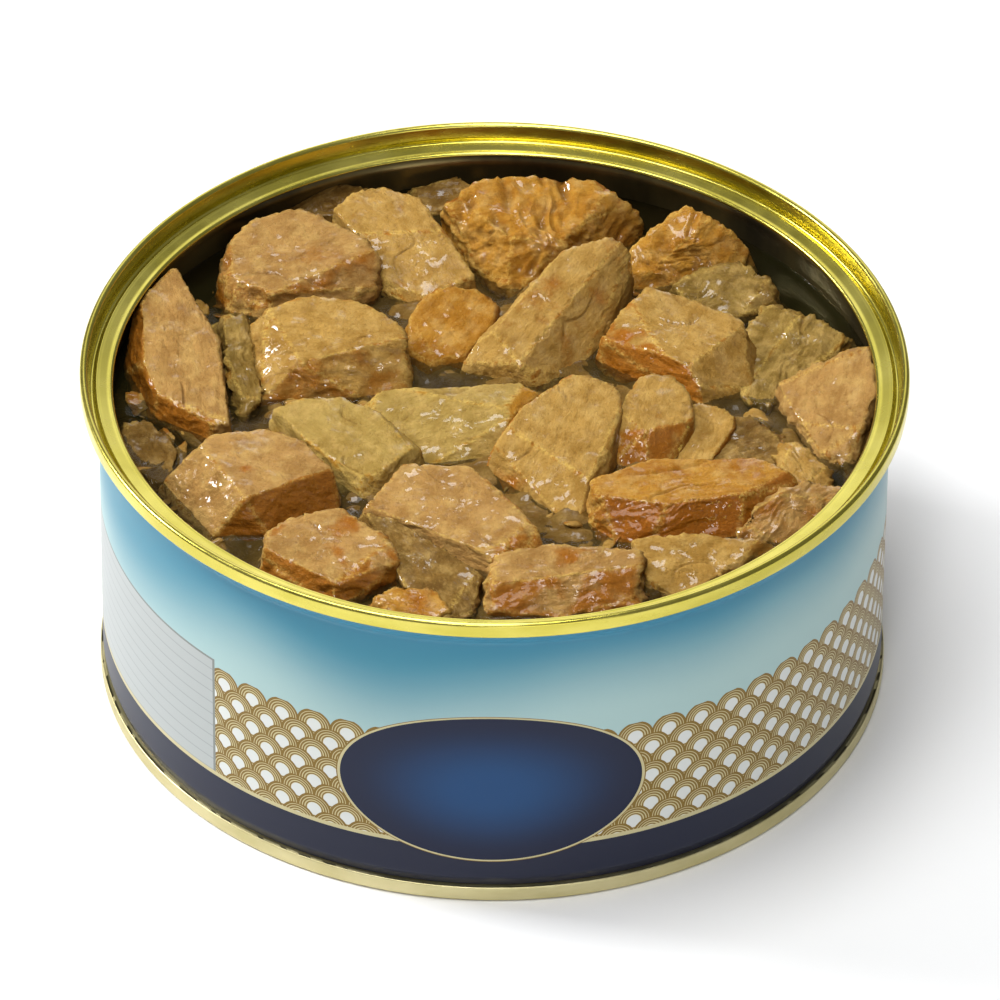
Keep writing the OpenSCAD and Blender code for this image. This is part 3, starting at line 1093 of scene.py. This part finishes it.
class Layer(Enum):
    """The layers of unevenness in a chunk's flesh.

    Each is a step from the chunk's seed, its lumps to a mm along three directions, how
    many octaves it has, and its height.
    """

    BROAD = (0, (1.0 / 9.0,) * 3, 2, 0.32)
    SMALL = (5, (1.0 / 1.4,) * 3, 3, 0.16)
    WANDER = (9, (1.0 / 10.0,) * 3, 1, 1.12)
    CREASED = (11, (1.0 / 7.0,) * 3, 1, 1.6)
    FIBRE = (13, (0.2, 0.8, 0.8), 2, 1.0)
    TEAR = (17, (0.16, 0.4, 0.4), 3, 2.2)
    CHIPS = (19, (1.0 / 1.8,) * 3, 3, 1.0)
    FOLD = (23, (0.4, 0.13, 0.3), 2, 1.0)
    SEAR = (29, (1.0 / 5.0,) * 3, 2, 0.3)
    PLATE = (31, (0.35, 0.9, 0.9), 3, 1.8)
    WARP = (41, (1.0 / 6.0,) * 3, 1, 3.2)


@dataclass(frozen=True)
class Skin:
    """A chunk's plain surface: rows from the top down by columns round.

    It holds the points, their outward normals, how near each is to an edge from 0 to 1,
    and the browning and the shade that its cut face adds.
    """

    points: Array
    outward: Array
    edge: Array
    tone: Array
    shade: Array


@dataclass
class Chunk:
    """One chunk of tuna, grown out of the flat-sided solid of its node."""

    number: int
    cut: Cut
    crispness: float = 70.0
    merged_angle: float = 15.0
    small_cuts: int = 2
    seam_spacing: float = 7.5
    step_height: float = 0.9
    plate_height: float = 0.35
    chip_depth: float = 0.9
    fold_height: float = 1.3
    crease_depth: float = 0.4
    corners: Array = field(init=False)
    middle: Array = field(init=False)
    normals: Array = field(init=False)
    reach: Array = field(init=False)
    long: Array = field(init=False)
    cross: Array = field(init=False)
    half: Array = field(init=False)

    def __post_init__(self) -> None:
        """Works out the solid's outer planes, its long axis and its half sizes."""
        self.corners = self.spread(self.cut.corners) if self.cut.corners else self.solid()
        self.middle, self.normals, self.reach = self.planes(self.corners)
        flat = self.corners[:, :2] - self.middle[:2]
        axes = np.linalg.svd(flat, full_matrices=False)[2]
        self.long = np.array([axes[0, 0], axes[0, 1], 0.0])
        self.cross = np.array([-axes[0, 1], axes[0, 0], 0.0])
        self.half = np.array([
            np.abs(flat @ self.long[:2]).max(),
            np.abs(flat @ self.cross[:2]).max(),
            (self.corners[:, 2].max() - self.corners[:, 2].min()) / 2.0,
        ])
        self.cut_corners()

    @property
    def node(self) -> str:
        """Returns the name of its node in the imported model."""
        return f"tuna_{self.number:02d}"

    @property
    def seed(self) -> int:
        """Returns the seed of its unevenness."""
        return self.number * 37

    def solid(self) -> Array:
        """Returns the corners of the chunk's solid in mm."""
        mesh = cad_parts[self.node].data
        corners = np.zeros(len(mesh.vertices) * 3)
        mesh.vertices.foreach_get("co", corners)
        return np.unique(np.round(corners.reshape(-1, 3) / MM, 3), axis=0)

    def spread(self, corners: tuple[Corner, ...]) -> Array:
        """Carries a chunk's corners down into the oil, a little outwards and then in.

        Args:
            corners: The corners that are chosen.

        Returns:
            Those corners and the ones below them.
        """
        upper = np.array(corners, float)
        middle = (upper[:, :2].min(0) + upper[:, :2].max(0)) / 2.0
        out = upper[:, :2] - middle
        away = np.linalg.norm(out, axis=1, keepdims=True)
        wide = np.column_stack([middle + out * (1.0 + 1.0 / away), np.full(len(upper), OIL_LEVEL - 1.5)])
        low = np.column_stack([middle + out * 0.86, np.full(len(upper), OIL_LEVEL - 10.0)])
        return np.concatenate([upper, wide, low])

    def planes(self, corners: Array) -> tuple[Array, Array, Array]:
        """Finds the planes of the convex skin round some corners.

        Args:
            corners: The corners.

        Returns:
            The middle, each plane's outward normal, and its distance from the middle.
            Planes less than merged_angle apart count once, by the larger face.
        """
        skin = bmesh.new()
        for corner in corners:
            skin.verts.new(corner)
        bmesh.ops.convex_hull(skin, input=skin.verts)
        faces = [face for face in skin.faces if face.calc_area() > 0.05]
        faces.sort(key=lambda face: -face.calc_area())
        low, high = corners.min(0), corners.max(0)
        middle = (low + high) / 2.0
        apart = math.cos(math.radians(self.merged_angle))
        normals: list[Array] = []
        reach: list[float] = []
        for face in faces:
            normal = np.array(face.normal)
            centre = np.array(face.calc_center_median())
            away = float(normal @ (centre - middle))
            if away < 0.0:
                normal, away = -normal, -away
            if all(normal @ other < apart for other in normals):
                normals.append(normal)
                reach.append(max(away, 0.8))
        skin.free()
        return middle, np.array(normals), np.array(reach)

    def cut_corners(self) -> None:
        """Adds small seeded cuts that take the corners off unevenly."""
        chance = np.random.default_rng(self.seed)
        for _ in range(self.small_cuts):
            turn = chance.uniform(0.0, 2.0 * np.pi)
            rise = chance.uniform(0.15, 0.85)
            flat = math.sqrt(1.0 - rise * rise)
            normal = self.long * math.cos(turn) * flat + self.cross * math.sin(turn) * flat
            normal = normal + np.array([0.0, 0.0, rise])
            reach = self.touch(normal) - chance.uniform(0.2, 1.0) * min(1.0, self.half.min() / 8.0)
            self.normals = np.vstack([self.normals, normal])
            self.reach = np.append(self.reach, reach)

    def touch(self, normal: Array) -> float:
        """Gives the distance from the middle at which a plane just touches the solid.

        Args:
            normal: The plane's outward normal.

        Returns:
            The distance in mm.
        """
        return float(((self.corners - self.middle) @ normal).max())

    def skin(self, rows: int, columns: int) -> Skin:
        """Gives a solid of flat cut faces with barely rounded edges, on a grid of directions.

        The radius in a direction is one over the sum, to the power 1/p, of the p-th
        powers of each plane's slope towards that direction over its distance. A large p,
        the crispness, keeps the faces flat and the edges crisp. Each face has a seeded
        tone; steep faces get a seeded darkening, and faces that look right get painted shade,
        as if lit from the left.

        Args:
            rows: Steps from the top to the underside.
            columns: Steps round.

        Returns:
            The plain surface.
        """
        tilt = np.pi * ((np.arange(rows) + 0.5)[:, None] / rows) ** 1.5
        turn = np.linspace(0.0, 2.0 * np.pi, columns, endpoint=False)
        along = self.half[0] * np.sin(tilt) * np.cos(turn)
        across = self.half[1] * np.sin(tilt) * np.sin(turn)
        heading = along[..., None] * self.long + across[..., None] * self.cross
        heading[..., 2] = self.half[2] * np.cos(tilt)
        heading /= np.linalg.norm(heading, axis=-1, keepdims=True)
        slope = np.maximum(heading @ self.normals.T, 0.0) / self.reach
        best = slope.max(-1, keepdims=True)
        share = (slope / best) ** self.crispness
        total = share.sum(-1)
        radius = 1.0 / (best[..., 0] * total ** (1.0 / self.crispness))
        outward = ((slope / best) ** (self.crispness - 1.0) / self.reach) @ self.normals
        outward /= np.linalg.norm(outward, axis=-1, keepdims=True)
        edge = 1.0 - smooth(0.5, 1.0, share.max(-1) / total)
        chance = np.random.default_rng(self.seed + 3)
        tones = chance.uniform(-0.3, 0.25, len(self.reach))
        right, up = self.normals[:, 0], self.normals[:, 2]
        # Painted shade: steep faces get a seeded darkening, and faces that look right get more, as if lit
        # from the left.
        shades = 0.4 * chance.uniform(0.0, 1.0, len(self.reach)) * (1.0 - up)
        shades = np.clip(shades + 0.8 * right * (1.0 - 0.5 * up), 0.0, 1.0)
        points = self.middle + radius[..., None] * heading
        return Skin(points, outward, edge, share @ tones / total, share @ shades / total)

    def lumps(self, layer: Layer, place: Array) -> Array:
        """Gives the heights of one layer of unevenness.

        Args:
            layer: Which layer.
            place: Places from the middle, plain or along and across the grain.

        Returns:
            The heights.
        """
        step, scale, octaves, height = layer.value
        return Lumps(self.seed + step).rough(place * np.array(scale), octaves) * height

    def relief(self, skin: Skin) -> tuple[Array, Array]:
        """Works out how far the flesh stands above the plain solid.

        It adds broad lumps, seams between the muscle's layers, fibres along the grain,
        ragged edges, and on torn and wrinkled chunks steps and folds.

        Args:
            skin: The plain surface.

        Returns:
            The height in mm, and how deep in a crease each point is, 0 to 1.
        """
        place = skin.points - self.middle
        grain = self.in_grain(place) + self.lumps(Layer.WARP, place)[..., None]
        sides = 1.0 - smooth(0.55, 0.9, skin.outward[..., 2])
        phase = (grain[..., 1] * 0.8 + grain[..., 2] * 0.45) / self.seam_spacing
        phase = phase + self.lumps(Layer.WANDER, place)
        crease = 1.0 - smooth(0.0, 0.09, np.abs(phase - np.round(phase)) * 2.0)
        crease = crease * smooth(0.05, 0.5, self.lumps(Layer.CREASED, place))
        fibre = (0.5 - np.abs(self.lumps(Layer.FIBRE, grain))) * (0.1 + 0.22 * sides)
        tear = self.lumps(Layer.TEAR, grain)
        steps = np.floor(tear) + smooth(0.25, 0.75, tear - np.floor(tear))
        flake = self.lumps(Layer.PLATE, grain)
        plates = np.floor(flake) + smooth(0.3, 0.7, flake - np.floor(flake))
        torn = (steps * self.step_height + plates * self.plate_height) * self.cut.torn * (0.3 + 0.8 * sides)
        ragged = skin.edge * (np.minimum(0.0, -self.lumps(Layer.CHIPS, place)) * self.chip_depth + 0.1)
        fold = np.abs(self.lumps(Layer.FOLD, grain)) * 1.6
        folds = (0.5 - fold) * self.cut.wrinkled * self.fold_height * (1.0 - 0.6 * sides)
        even = self.lumps(Layer.BROAD, place) + self.lumps(Layer.SMALL, place)
        height = even + fibre + torn + ragged + folds - crease * self.crease_depth
        deep = smooth(0.75, 0.95, tear - np.floor(tear)) * self.cut.torn
        fold_dip = smooth(0.45, 0.9, fold) * self.cut.wrinkled * 0.6
        return height, np.clip(crease * 0.5 + deep * sides * 0.8 + fold_dip, 0.0, 1.0)

    def in_grain(self, place: Array) -> Array:
        """Turns places about the middle to distances along and across the grain."""
        return np.stack([place @ self.long, place @ self.cross, place[..., 2]], -1)

    def browning(self, skin: Skin) -> Array:
        """Works out how browned each point is: most where it faces the browned side.

        Args:
            skin: The plain surface.

        Returns:
            Browning from 0 to 1, patchy at its border.
        """
        angle = math.radians(self.cut.browned_to)
        towards = np.array([math.cos(angle) * 0.9, math.sin(angle) * 0.9, 0.25])
        facing = skin.outward @ towards + self.lumps(Layer.SEAR, skin.points - self.middle)
        return np.clip(smooth(0.3, 0.75, facing) * self.cut.browned + skin.tone, 0.0, 1.0)

    def build(self, flesh: bpy.types.Material) -> bpy.types.Object:
        """Makes the chunk's mesh, with its grain, its marks and its painted light as attributes.

        Args:
            flesh: The material of its tone.

        Returns:
            The chunk.
        """
        detail = 1.0
        columns = int(min(230, max(100, float(self.half.max()) * 10.0)) * detail)
        skin = self.skin(int(columns * 0.52), columns)
        height, crease_shade_mask = self.relief(skin)
        piece = Surface(self.node + "_flesh")
        piece.ball(within_can(skin.points + skin.outward * height[..., None], CAN_ROOM - 0.1))
        chunk = piece.build([flesh])
        marks_and_painted_light = np.stack([self.browning(skin), skin.edge, crease_shade_mask, skin.shade], -1)
        ends = np.stack([marks_and_painted_light[0].mean(0), marks_and_painted_light[-1].mean(0)])
        store(chunk, "marks_and_painted_light", "FLOAT_COLOR", np.concatenate([marks_and_painted_light.reshape(-1, 4), ends]))
        grain = self.in_grain(piece.all_points() - self.middle) + np.array([self.seed * 3.1, 0.0, 0.0])
        store(chunk, "grain", "FLOAT_VECTOR", grain)
        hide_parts(self.node)
        return chunk

    def gap(self, places: Array) -> Array:
        """Gives how far places lie outside the chunk, less than nothing inside it.

        Args:
            places: Places in mm.

        Returns:
            The greatest distance outside any of its planes.
        """
        return ((places - self.middle) @ self.normals.T - self.reach).max(-1)


@dataclass
class Filling:
    """The oil, the bed of packed tuna under it, and the chunks that stand in it."""

    chunks: list[Chunk]
    level: float = field(init=False)
    radius: float = field(init=False)
    bed_top: float = field(init=False)
    bed_floor: float = field(init=False)
    creep: float = 0.75
    creep_reach: float = 0.8
    slack: float = 0.15
    clear_border: float = 7.0
    bed_sink: float = 0.5
    bed_rise: float = 1.4
    coarse_height: float = 2.6
    flaky_height: float = 1.3
    # Browning, edge, crease and face shade of the bed; the last two lay painted shade over it.
    bed_browning_and_shade: tuple[float, float, float, float] = (0.2, 0.0, 0.2, 0.6)

    def __post_init__(self) -> None:
        """Reads the oil's and the bed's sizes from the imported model."""
        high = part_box("oil")[1]
        bed_low, bed_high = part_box("tuna_bed")
        self.level = high.z / MM
        self.radius = high.x / MM
        self.bed_top = bed_high.z / MM
        self.bed_floor = bed_low.z / MM

    @staticmethod
    def disc(count: int, radius: float) -> tuple[Array, Array]:
        """Spreads a square grid over a disc.

        A point u, v of the square goes to u times the root of one less half v squared,
        and v times the root of one less half u squared, so its sides lie on the circle.

        Args:
            count: Points along each side.
            radius: The disc's radius.

        Returns:
            The x and y of the grid.
        """
        side = np.linspace(-1.0, 1.0, count)
        u, v = np.meshgrid(side, side)
        return radius * u * np.sqrt(1.0 - v * v / 2.0), radius * v * np.sqrt(1.0 - u * u / 2.0)

    def oil(self) -> bpy.types.Object:
        """Builds the oil: level, with a rim that creeps up every chunk and the wall.

        The rise is the creep's height times e to the minus distance over its reach, less
        the slack that the oil between lies below its level.

        Returns:
            The oil, closed at its side and underneath.
        """
        x, y = self.disc(285, self.radius)
        places = np.stack([x, y, np.full(x.shape, self.level)], -1)
        nearest = self.radius - np.hypot(x, y)
        for chunk in self.chunks:
            nearest = np.minimum(nearest, np.abs(chunk.gap(places)))
        ripple = Lumps(3).at(places / 14.0) * 0.05
        rise = self.creep * np.exp(-nearest / self.creep_reach)
        places[..., 2] += ripple + rise - self.slack
        piece = Surface("oil_surface")
        piece.skirt(piece.grid(places[::-1], False, False), self.bed_top)
        oil = piece.build([DarkOil().material()])
        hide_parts("oil")
        return oil

    def bed(self, flesh: bpy.types.Material) -> bpy.types.Object:
        """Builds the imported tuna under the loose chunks: lumpy, and lower near the back wall.

        Args:
            flesh: Its material.

        Returns:
            The bed, closed all round.
        """
        x, y = self.disc(220, self.radius - 0.7)
        places = np.stack([x, y, np.full(x.shape, self.bed_top)], -1)
        coarse = Lumps(71).rough(places / 8.0, 3)
        flaky = Lumps(75).rough(places * np.array([0.5, 1.1, 1.0]) / 2.6, 3)
        deep = smooth(0.72, 0.92, (np.hypot(x, y) + 0.25 * y) / self.radius) * self.clear_border
        raised = self.level - self.bed_sink + coarse * self.coarse_height + flaky * self.flaky_height - deep
        places[..., 2] = np.clip(raised, self.bed_top - 1.0, self.level + self.bed_rise)
        piece = Surface("tuna_bed_flesh")
        piece.skirt(piece.grid(places[::-1], False, False), self.bed_floor)
        bed = piece.build([flesh])
        every = piece.all_points()
        store(bed, "grain", "FLOAT_VECTOR", every)
        store(bed, "marks_and_painted_light", "FLOAT_COLOR", np.tile(self.bed_browning_and_shade, (len(every), 1)))
        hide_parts("tuna_bed")
        return bed


@dataclass
class Crumbs:
    """Small torn bits of tuna, sunk or half sunk in the gaps and against the chunks."""

    chunks: list[Chunk]
    tries: int = 9000
    count: int = 420
    smallest: float = 0.3
    largest: float = 2.8
    deepest_in: float = -0.6
    farthest_out: float = 1.6
    sides: int = 9
    rows: int = 11
    columns: int = 20
    roundness: float = 24.0

    def places(self, chance: np.random.Generator) -> Array:
        """Finds places in the gaps, from just inside a chunk's side to a little clear of it.

        Args:
            chance: The seeded source of random numbers.

        Returns:
            The places in mm, on the oil's level.
        """
        turn = chance.uniform(0.0, 2.0 * np.pi, self.tries)
        away = (CAN_ROOM - 4.0) * np.sqrt(chance.uniform(0.0, 1.0, self.tries))
        spots = np.stack([away * np.cos(turn), away * np.sin(turn), np.full(self.tries, OIL_LEVEL)], -1)
        gap = np.min([chunk.gap(spots) for chunk in self.chunks], 0)
        return spots[(gap > self.deepest_in) & (gap < self.farthest_out)][: self.count]

    def bit(self, chance: np.random.Generator, spot: Array) -> Array:
        """Shapes one bit: a flattened ball cut by random planes, as a chunk is, and turned.

        Args:
            chance: The seeded source of random numbers.
            spot: Its middle.

        Returns:
            Its points, on a grid of directions.
        """
        normals = chance.normal(size=(self.sides, 3))
        normals /= np.linalg.norm(normals, axis=1, keepdims=True)
        reach = chance.uniform(0.55, 1.0, self.sides)
        tilt = np.pi * (np.arange(self.rows) + 0.5)[:, None] / self.rows
        turn = np.linspace(0.0, 2.0 * np.pi, self.columns, endpoint=False)
        up = np.cos(tilt) + 0.0 * turn
        ways = np.stack([np.sin(tilt) * np.cos(turn), np.sin(tilt) * np.sin(turn), up], -1)
        slope = np.maximum(ways @ normals.T, 0.0) / reach
        radius = np.minimum(1.3, ((slope**self.roundness).sum(-1) + 1e-9) ** (-1.0 / self.roundness))
        uneven = 1.0 + 0.3 * Lumps(int(chance.integers(9999))).rough(ways * 1.6, 3)
        shape = ways * (radius * uneven)[..., None]
        size = self.smallest + (self.largest - self.smallest) * chance.uniform() ** 4.5
        spin = chance.uniform(0.0, 2.0 * np.pi)
        stretch = np.array([chance.uniform(0.9, 1.6), chance.uniform(0.5, 1.0), chance.uniform(0.3, 0.55)])
        shape = shape * stretch * size
        shape[..., 2] += chance.uniform(-0.5, 0.5) * shape[..., 0]
        shape[..., 2] += chance.uniform(-0.4, 0.4) * shape[..., 1]
        x = shape[..., 0] * math.cos(spin) - shape[..., 1] * math.sin(spin)
        y = shape[..., 0] * math.sin(spin) + shape[..., 1] * math.cos(spin)
        lift = chance.uniform(-1.5, -0.2)
        return within_can(np.stack([x, y, shape[..., 2] + lift], -1) + spot, CAN_ROOM - 0.3)

    def build(self, flesh: bpy.types.Material) -> bpy.types.Object:
        """Makes every bit as one piece.

        Args:
            flesh: Its material.

        Returns:
            The crumbs.
        """
        chance = np.random.default_rng(5)
        piece = Surface("tuna_crumbs")
        for spot in self.places(chance):
            piece.ball(self.bit(chance, spot))
        crumbs = piece.build([flesh])
        every = piece.all_points()
        store(crumbs, "grain", "FLOAT_VECTOR", every * np.array([1.0, 2.0, 2.0]))
        # One noise drives the crumbs' browning, a painted edge highlight and painted shade.
        shade = smooth(-0.2, 0.6, Lumps(91).at(every / 3.0))
        marks_and_painted_light = np.stack([shade * 0.7, shade * 0.3, 0.0 * shade, 0.3 * shade], -1)
        store(crumbs, "marks_and_painted_light", "FLOAT_COLOR", marks_and_painted_light)
        return crumbs


@dataclass(frozen=True)
class Lamp:
    """A square soft light: its name, its place and side in metres and its power in watts."""

    name: str
    place: Corner
    side: float
    power: float


@dataclass
class Studio:
    """The floor, the lights and the camera round the can.

    The room glows by how far a direction lies behind the can rather than beside it: low
    and high, then the strength at each.
    """

    height: float
    lamps: tuple[Lamp, ...] = (
        Lamp("left_key", (-1.3, 0.4, 0.95), 0.45, 21.0),
        Lamp("top_softbox", (-0.25, -0.1, 1.6), 0.9, 19.0),
        Lamp("front_spark", (-0.1, -1.05, 1.4), 0.24, 5.0),
        Lamp("front_fill", (0.4, -1.8, 0.35), 1.0, 5.0),
    )
    glow: tuple[float, float, float, float] = (0.48, 0.8, 0.2, 1.6)
    floor_half: float = 3000.0
    distance: float = 2022.0
    elevation: float = 38.2
    roll: float = 0.53
    lens: float = 380.5
    shift: tuple[float, float] = (0.00655, 0.00828)

    def floor(self) -> bpy.types.Object:
        """Lays a plain pale floor under the can."""
        side = np.linspace(-self.floor_half, self.floor_half, 8)
        x, y = np.meshgrid(side, side)
        piece = Surface("studio_floor")
        piece.grid(np.stack([x, y, np.full(x.shape, -0.02)], -1)[::-1], False, False)
        board = Board("studio_white")
        tint = board.mix(board.noise(board.place(), 2.0), paint(244, 244, 245), paint(248, 248, 248))
        floor = piece.build([board.finish(Base_Color=tint, Roughness=0.6)])
        return floor

    def hang(self, lamp: Lamp) -> None:
        """Hangs a light so that it faces the can's top.

        Args:
            lamp: The light.
        """
        data = bpy.data.lights.new(lamp.name, "AREA")
        data.size = lamp.side
        data.energy = lamp.power
        light = bpy.data.objects.new(lamp.name, data)
        bpy.context.scene.collection.objects.link(light)
        light.location = lamp.place
        aim = light.location.copy()
        aim.z -= self.height * MM
        light.rotation_euler = aim.to_track_quat("Z", "Y").to_euler()

    def light(self) -> None:
        """Lights the can from the left and above, in a room that is brightest behind it."""
        for lamp in self.lamps:
            self.hang(lamp)
        world = bpy.data.worlds.new("studio_room")
        bpy.context.scene.world = world
        world.use_nodes = True
        nodes, links = world.node_tree.nodes, world.node_tree.links
        ways = nodes.new("ShaderNodeSeparateXYZ")
        links.new(nodes.new("ShaderNodeTexCoord").outputs["Generated"], ways.inputs[0])
        glow = nodes.new("ShaderNodeMapRange")
        glow.interpolation_type = "SMOOTHSTEP"
        for number, value in enumerate(self.glow, 1):
            glow.inputs[number].default_value = value
        sides = nodes.new("ShaderNodeMath")
        sides.operation = "ABSOLUTE"
        links.new(ways.outputs[0], sides.inputs[0])
        ahead = nodes.new("ShaderNodeMath")
        ahead.operation = "SUBTRACT"
        links.new(ways.outputs[1], ahead.inputs[0])
        links.new(sides.outputs[0], ahead.inputs[1])
        links.new(ahead.outputs[0], glow.inputs[0])
        links.new(glow.outputs[0], nodes["Background"].inputs[1])
        nodes["Background"].inputs[0].default_value = (1.0, 1.0, 1.0, 1.0)

    def camera(self) -> None:
        """Sets the long-lens camera that looks down on the can from the front."""
        data = bpy.data.cameras.new("studio_camera")
        data.lens = self.lens
        data.sensor_width = 36.0
        data.shift_x, data.shift_y = self.shift
        data.clip_end = 50.0
        camera = bpy.data.objects.new("studio_camera", data)
        bpy.context.scene.collection.objects.link(camera)
        rise = math.radians(self.elevation)
        away = self.distance * MM
        camera.location = (0.0, -away * math.cos(rise), self.height * MM / 2.0 + away * math.sin(rise))
        camera.rotation_mode = "XYZ"
        tilt = Matrix.Rotation(math.pi / 2.0 - rise, 3, "X")
        camera.rotation_euler = (tilt @ Matrix.Rotation(math.radians(self.roll), 3, "Z")).to_euler("XYZ")
        bpy.context.scene.camera = camera

    def build(self) -> None:
        """Makes the floor, lights and camera, and keeps colours as painted."""
        self.floor()
        self.light()
        self.camera()
        bpy.context.scene.view_settings.view_transform = "Standard"


def report(piece: bpy.types.Object) -> None:
    """Logs a piece's name and how many faces it has."""
    LOG.info("%s: %d faces", piece.name, len(piece.data.polygons))


def main() -> None:
    """Builds the can, its filling and the studio."""
    logging.basicConfig(level=logging.INFO, format="%(message)s")
    can = Can()
    for piece in (can.body(), can.ring(BRIGHT_GOLD.material()), can.base(PALE_GOLD.material())):
        report(piece)
    chunks = [Chunk(number + 1, cut) for number, cut in enumerate(CUTS)]
    filling = Filling(chunks)
    flesh = {tone: Flesh(tone, filling.level).material() for tone in Tone}
    for chunk in chunks:
        report(chunk.build(flesh[chunk.cut.tone]))
    report(filling.oil())
    report(filling.bed(flesh[Tone.OLIVE]))
    report(Crumbs(chunks).build(flesh[Tone.TAN]))
    Studio(can.height).build()


if __name__ == "__main__":
    main()
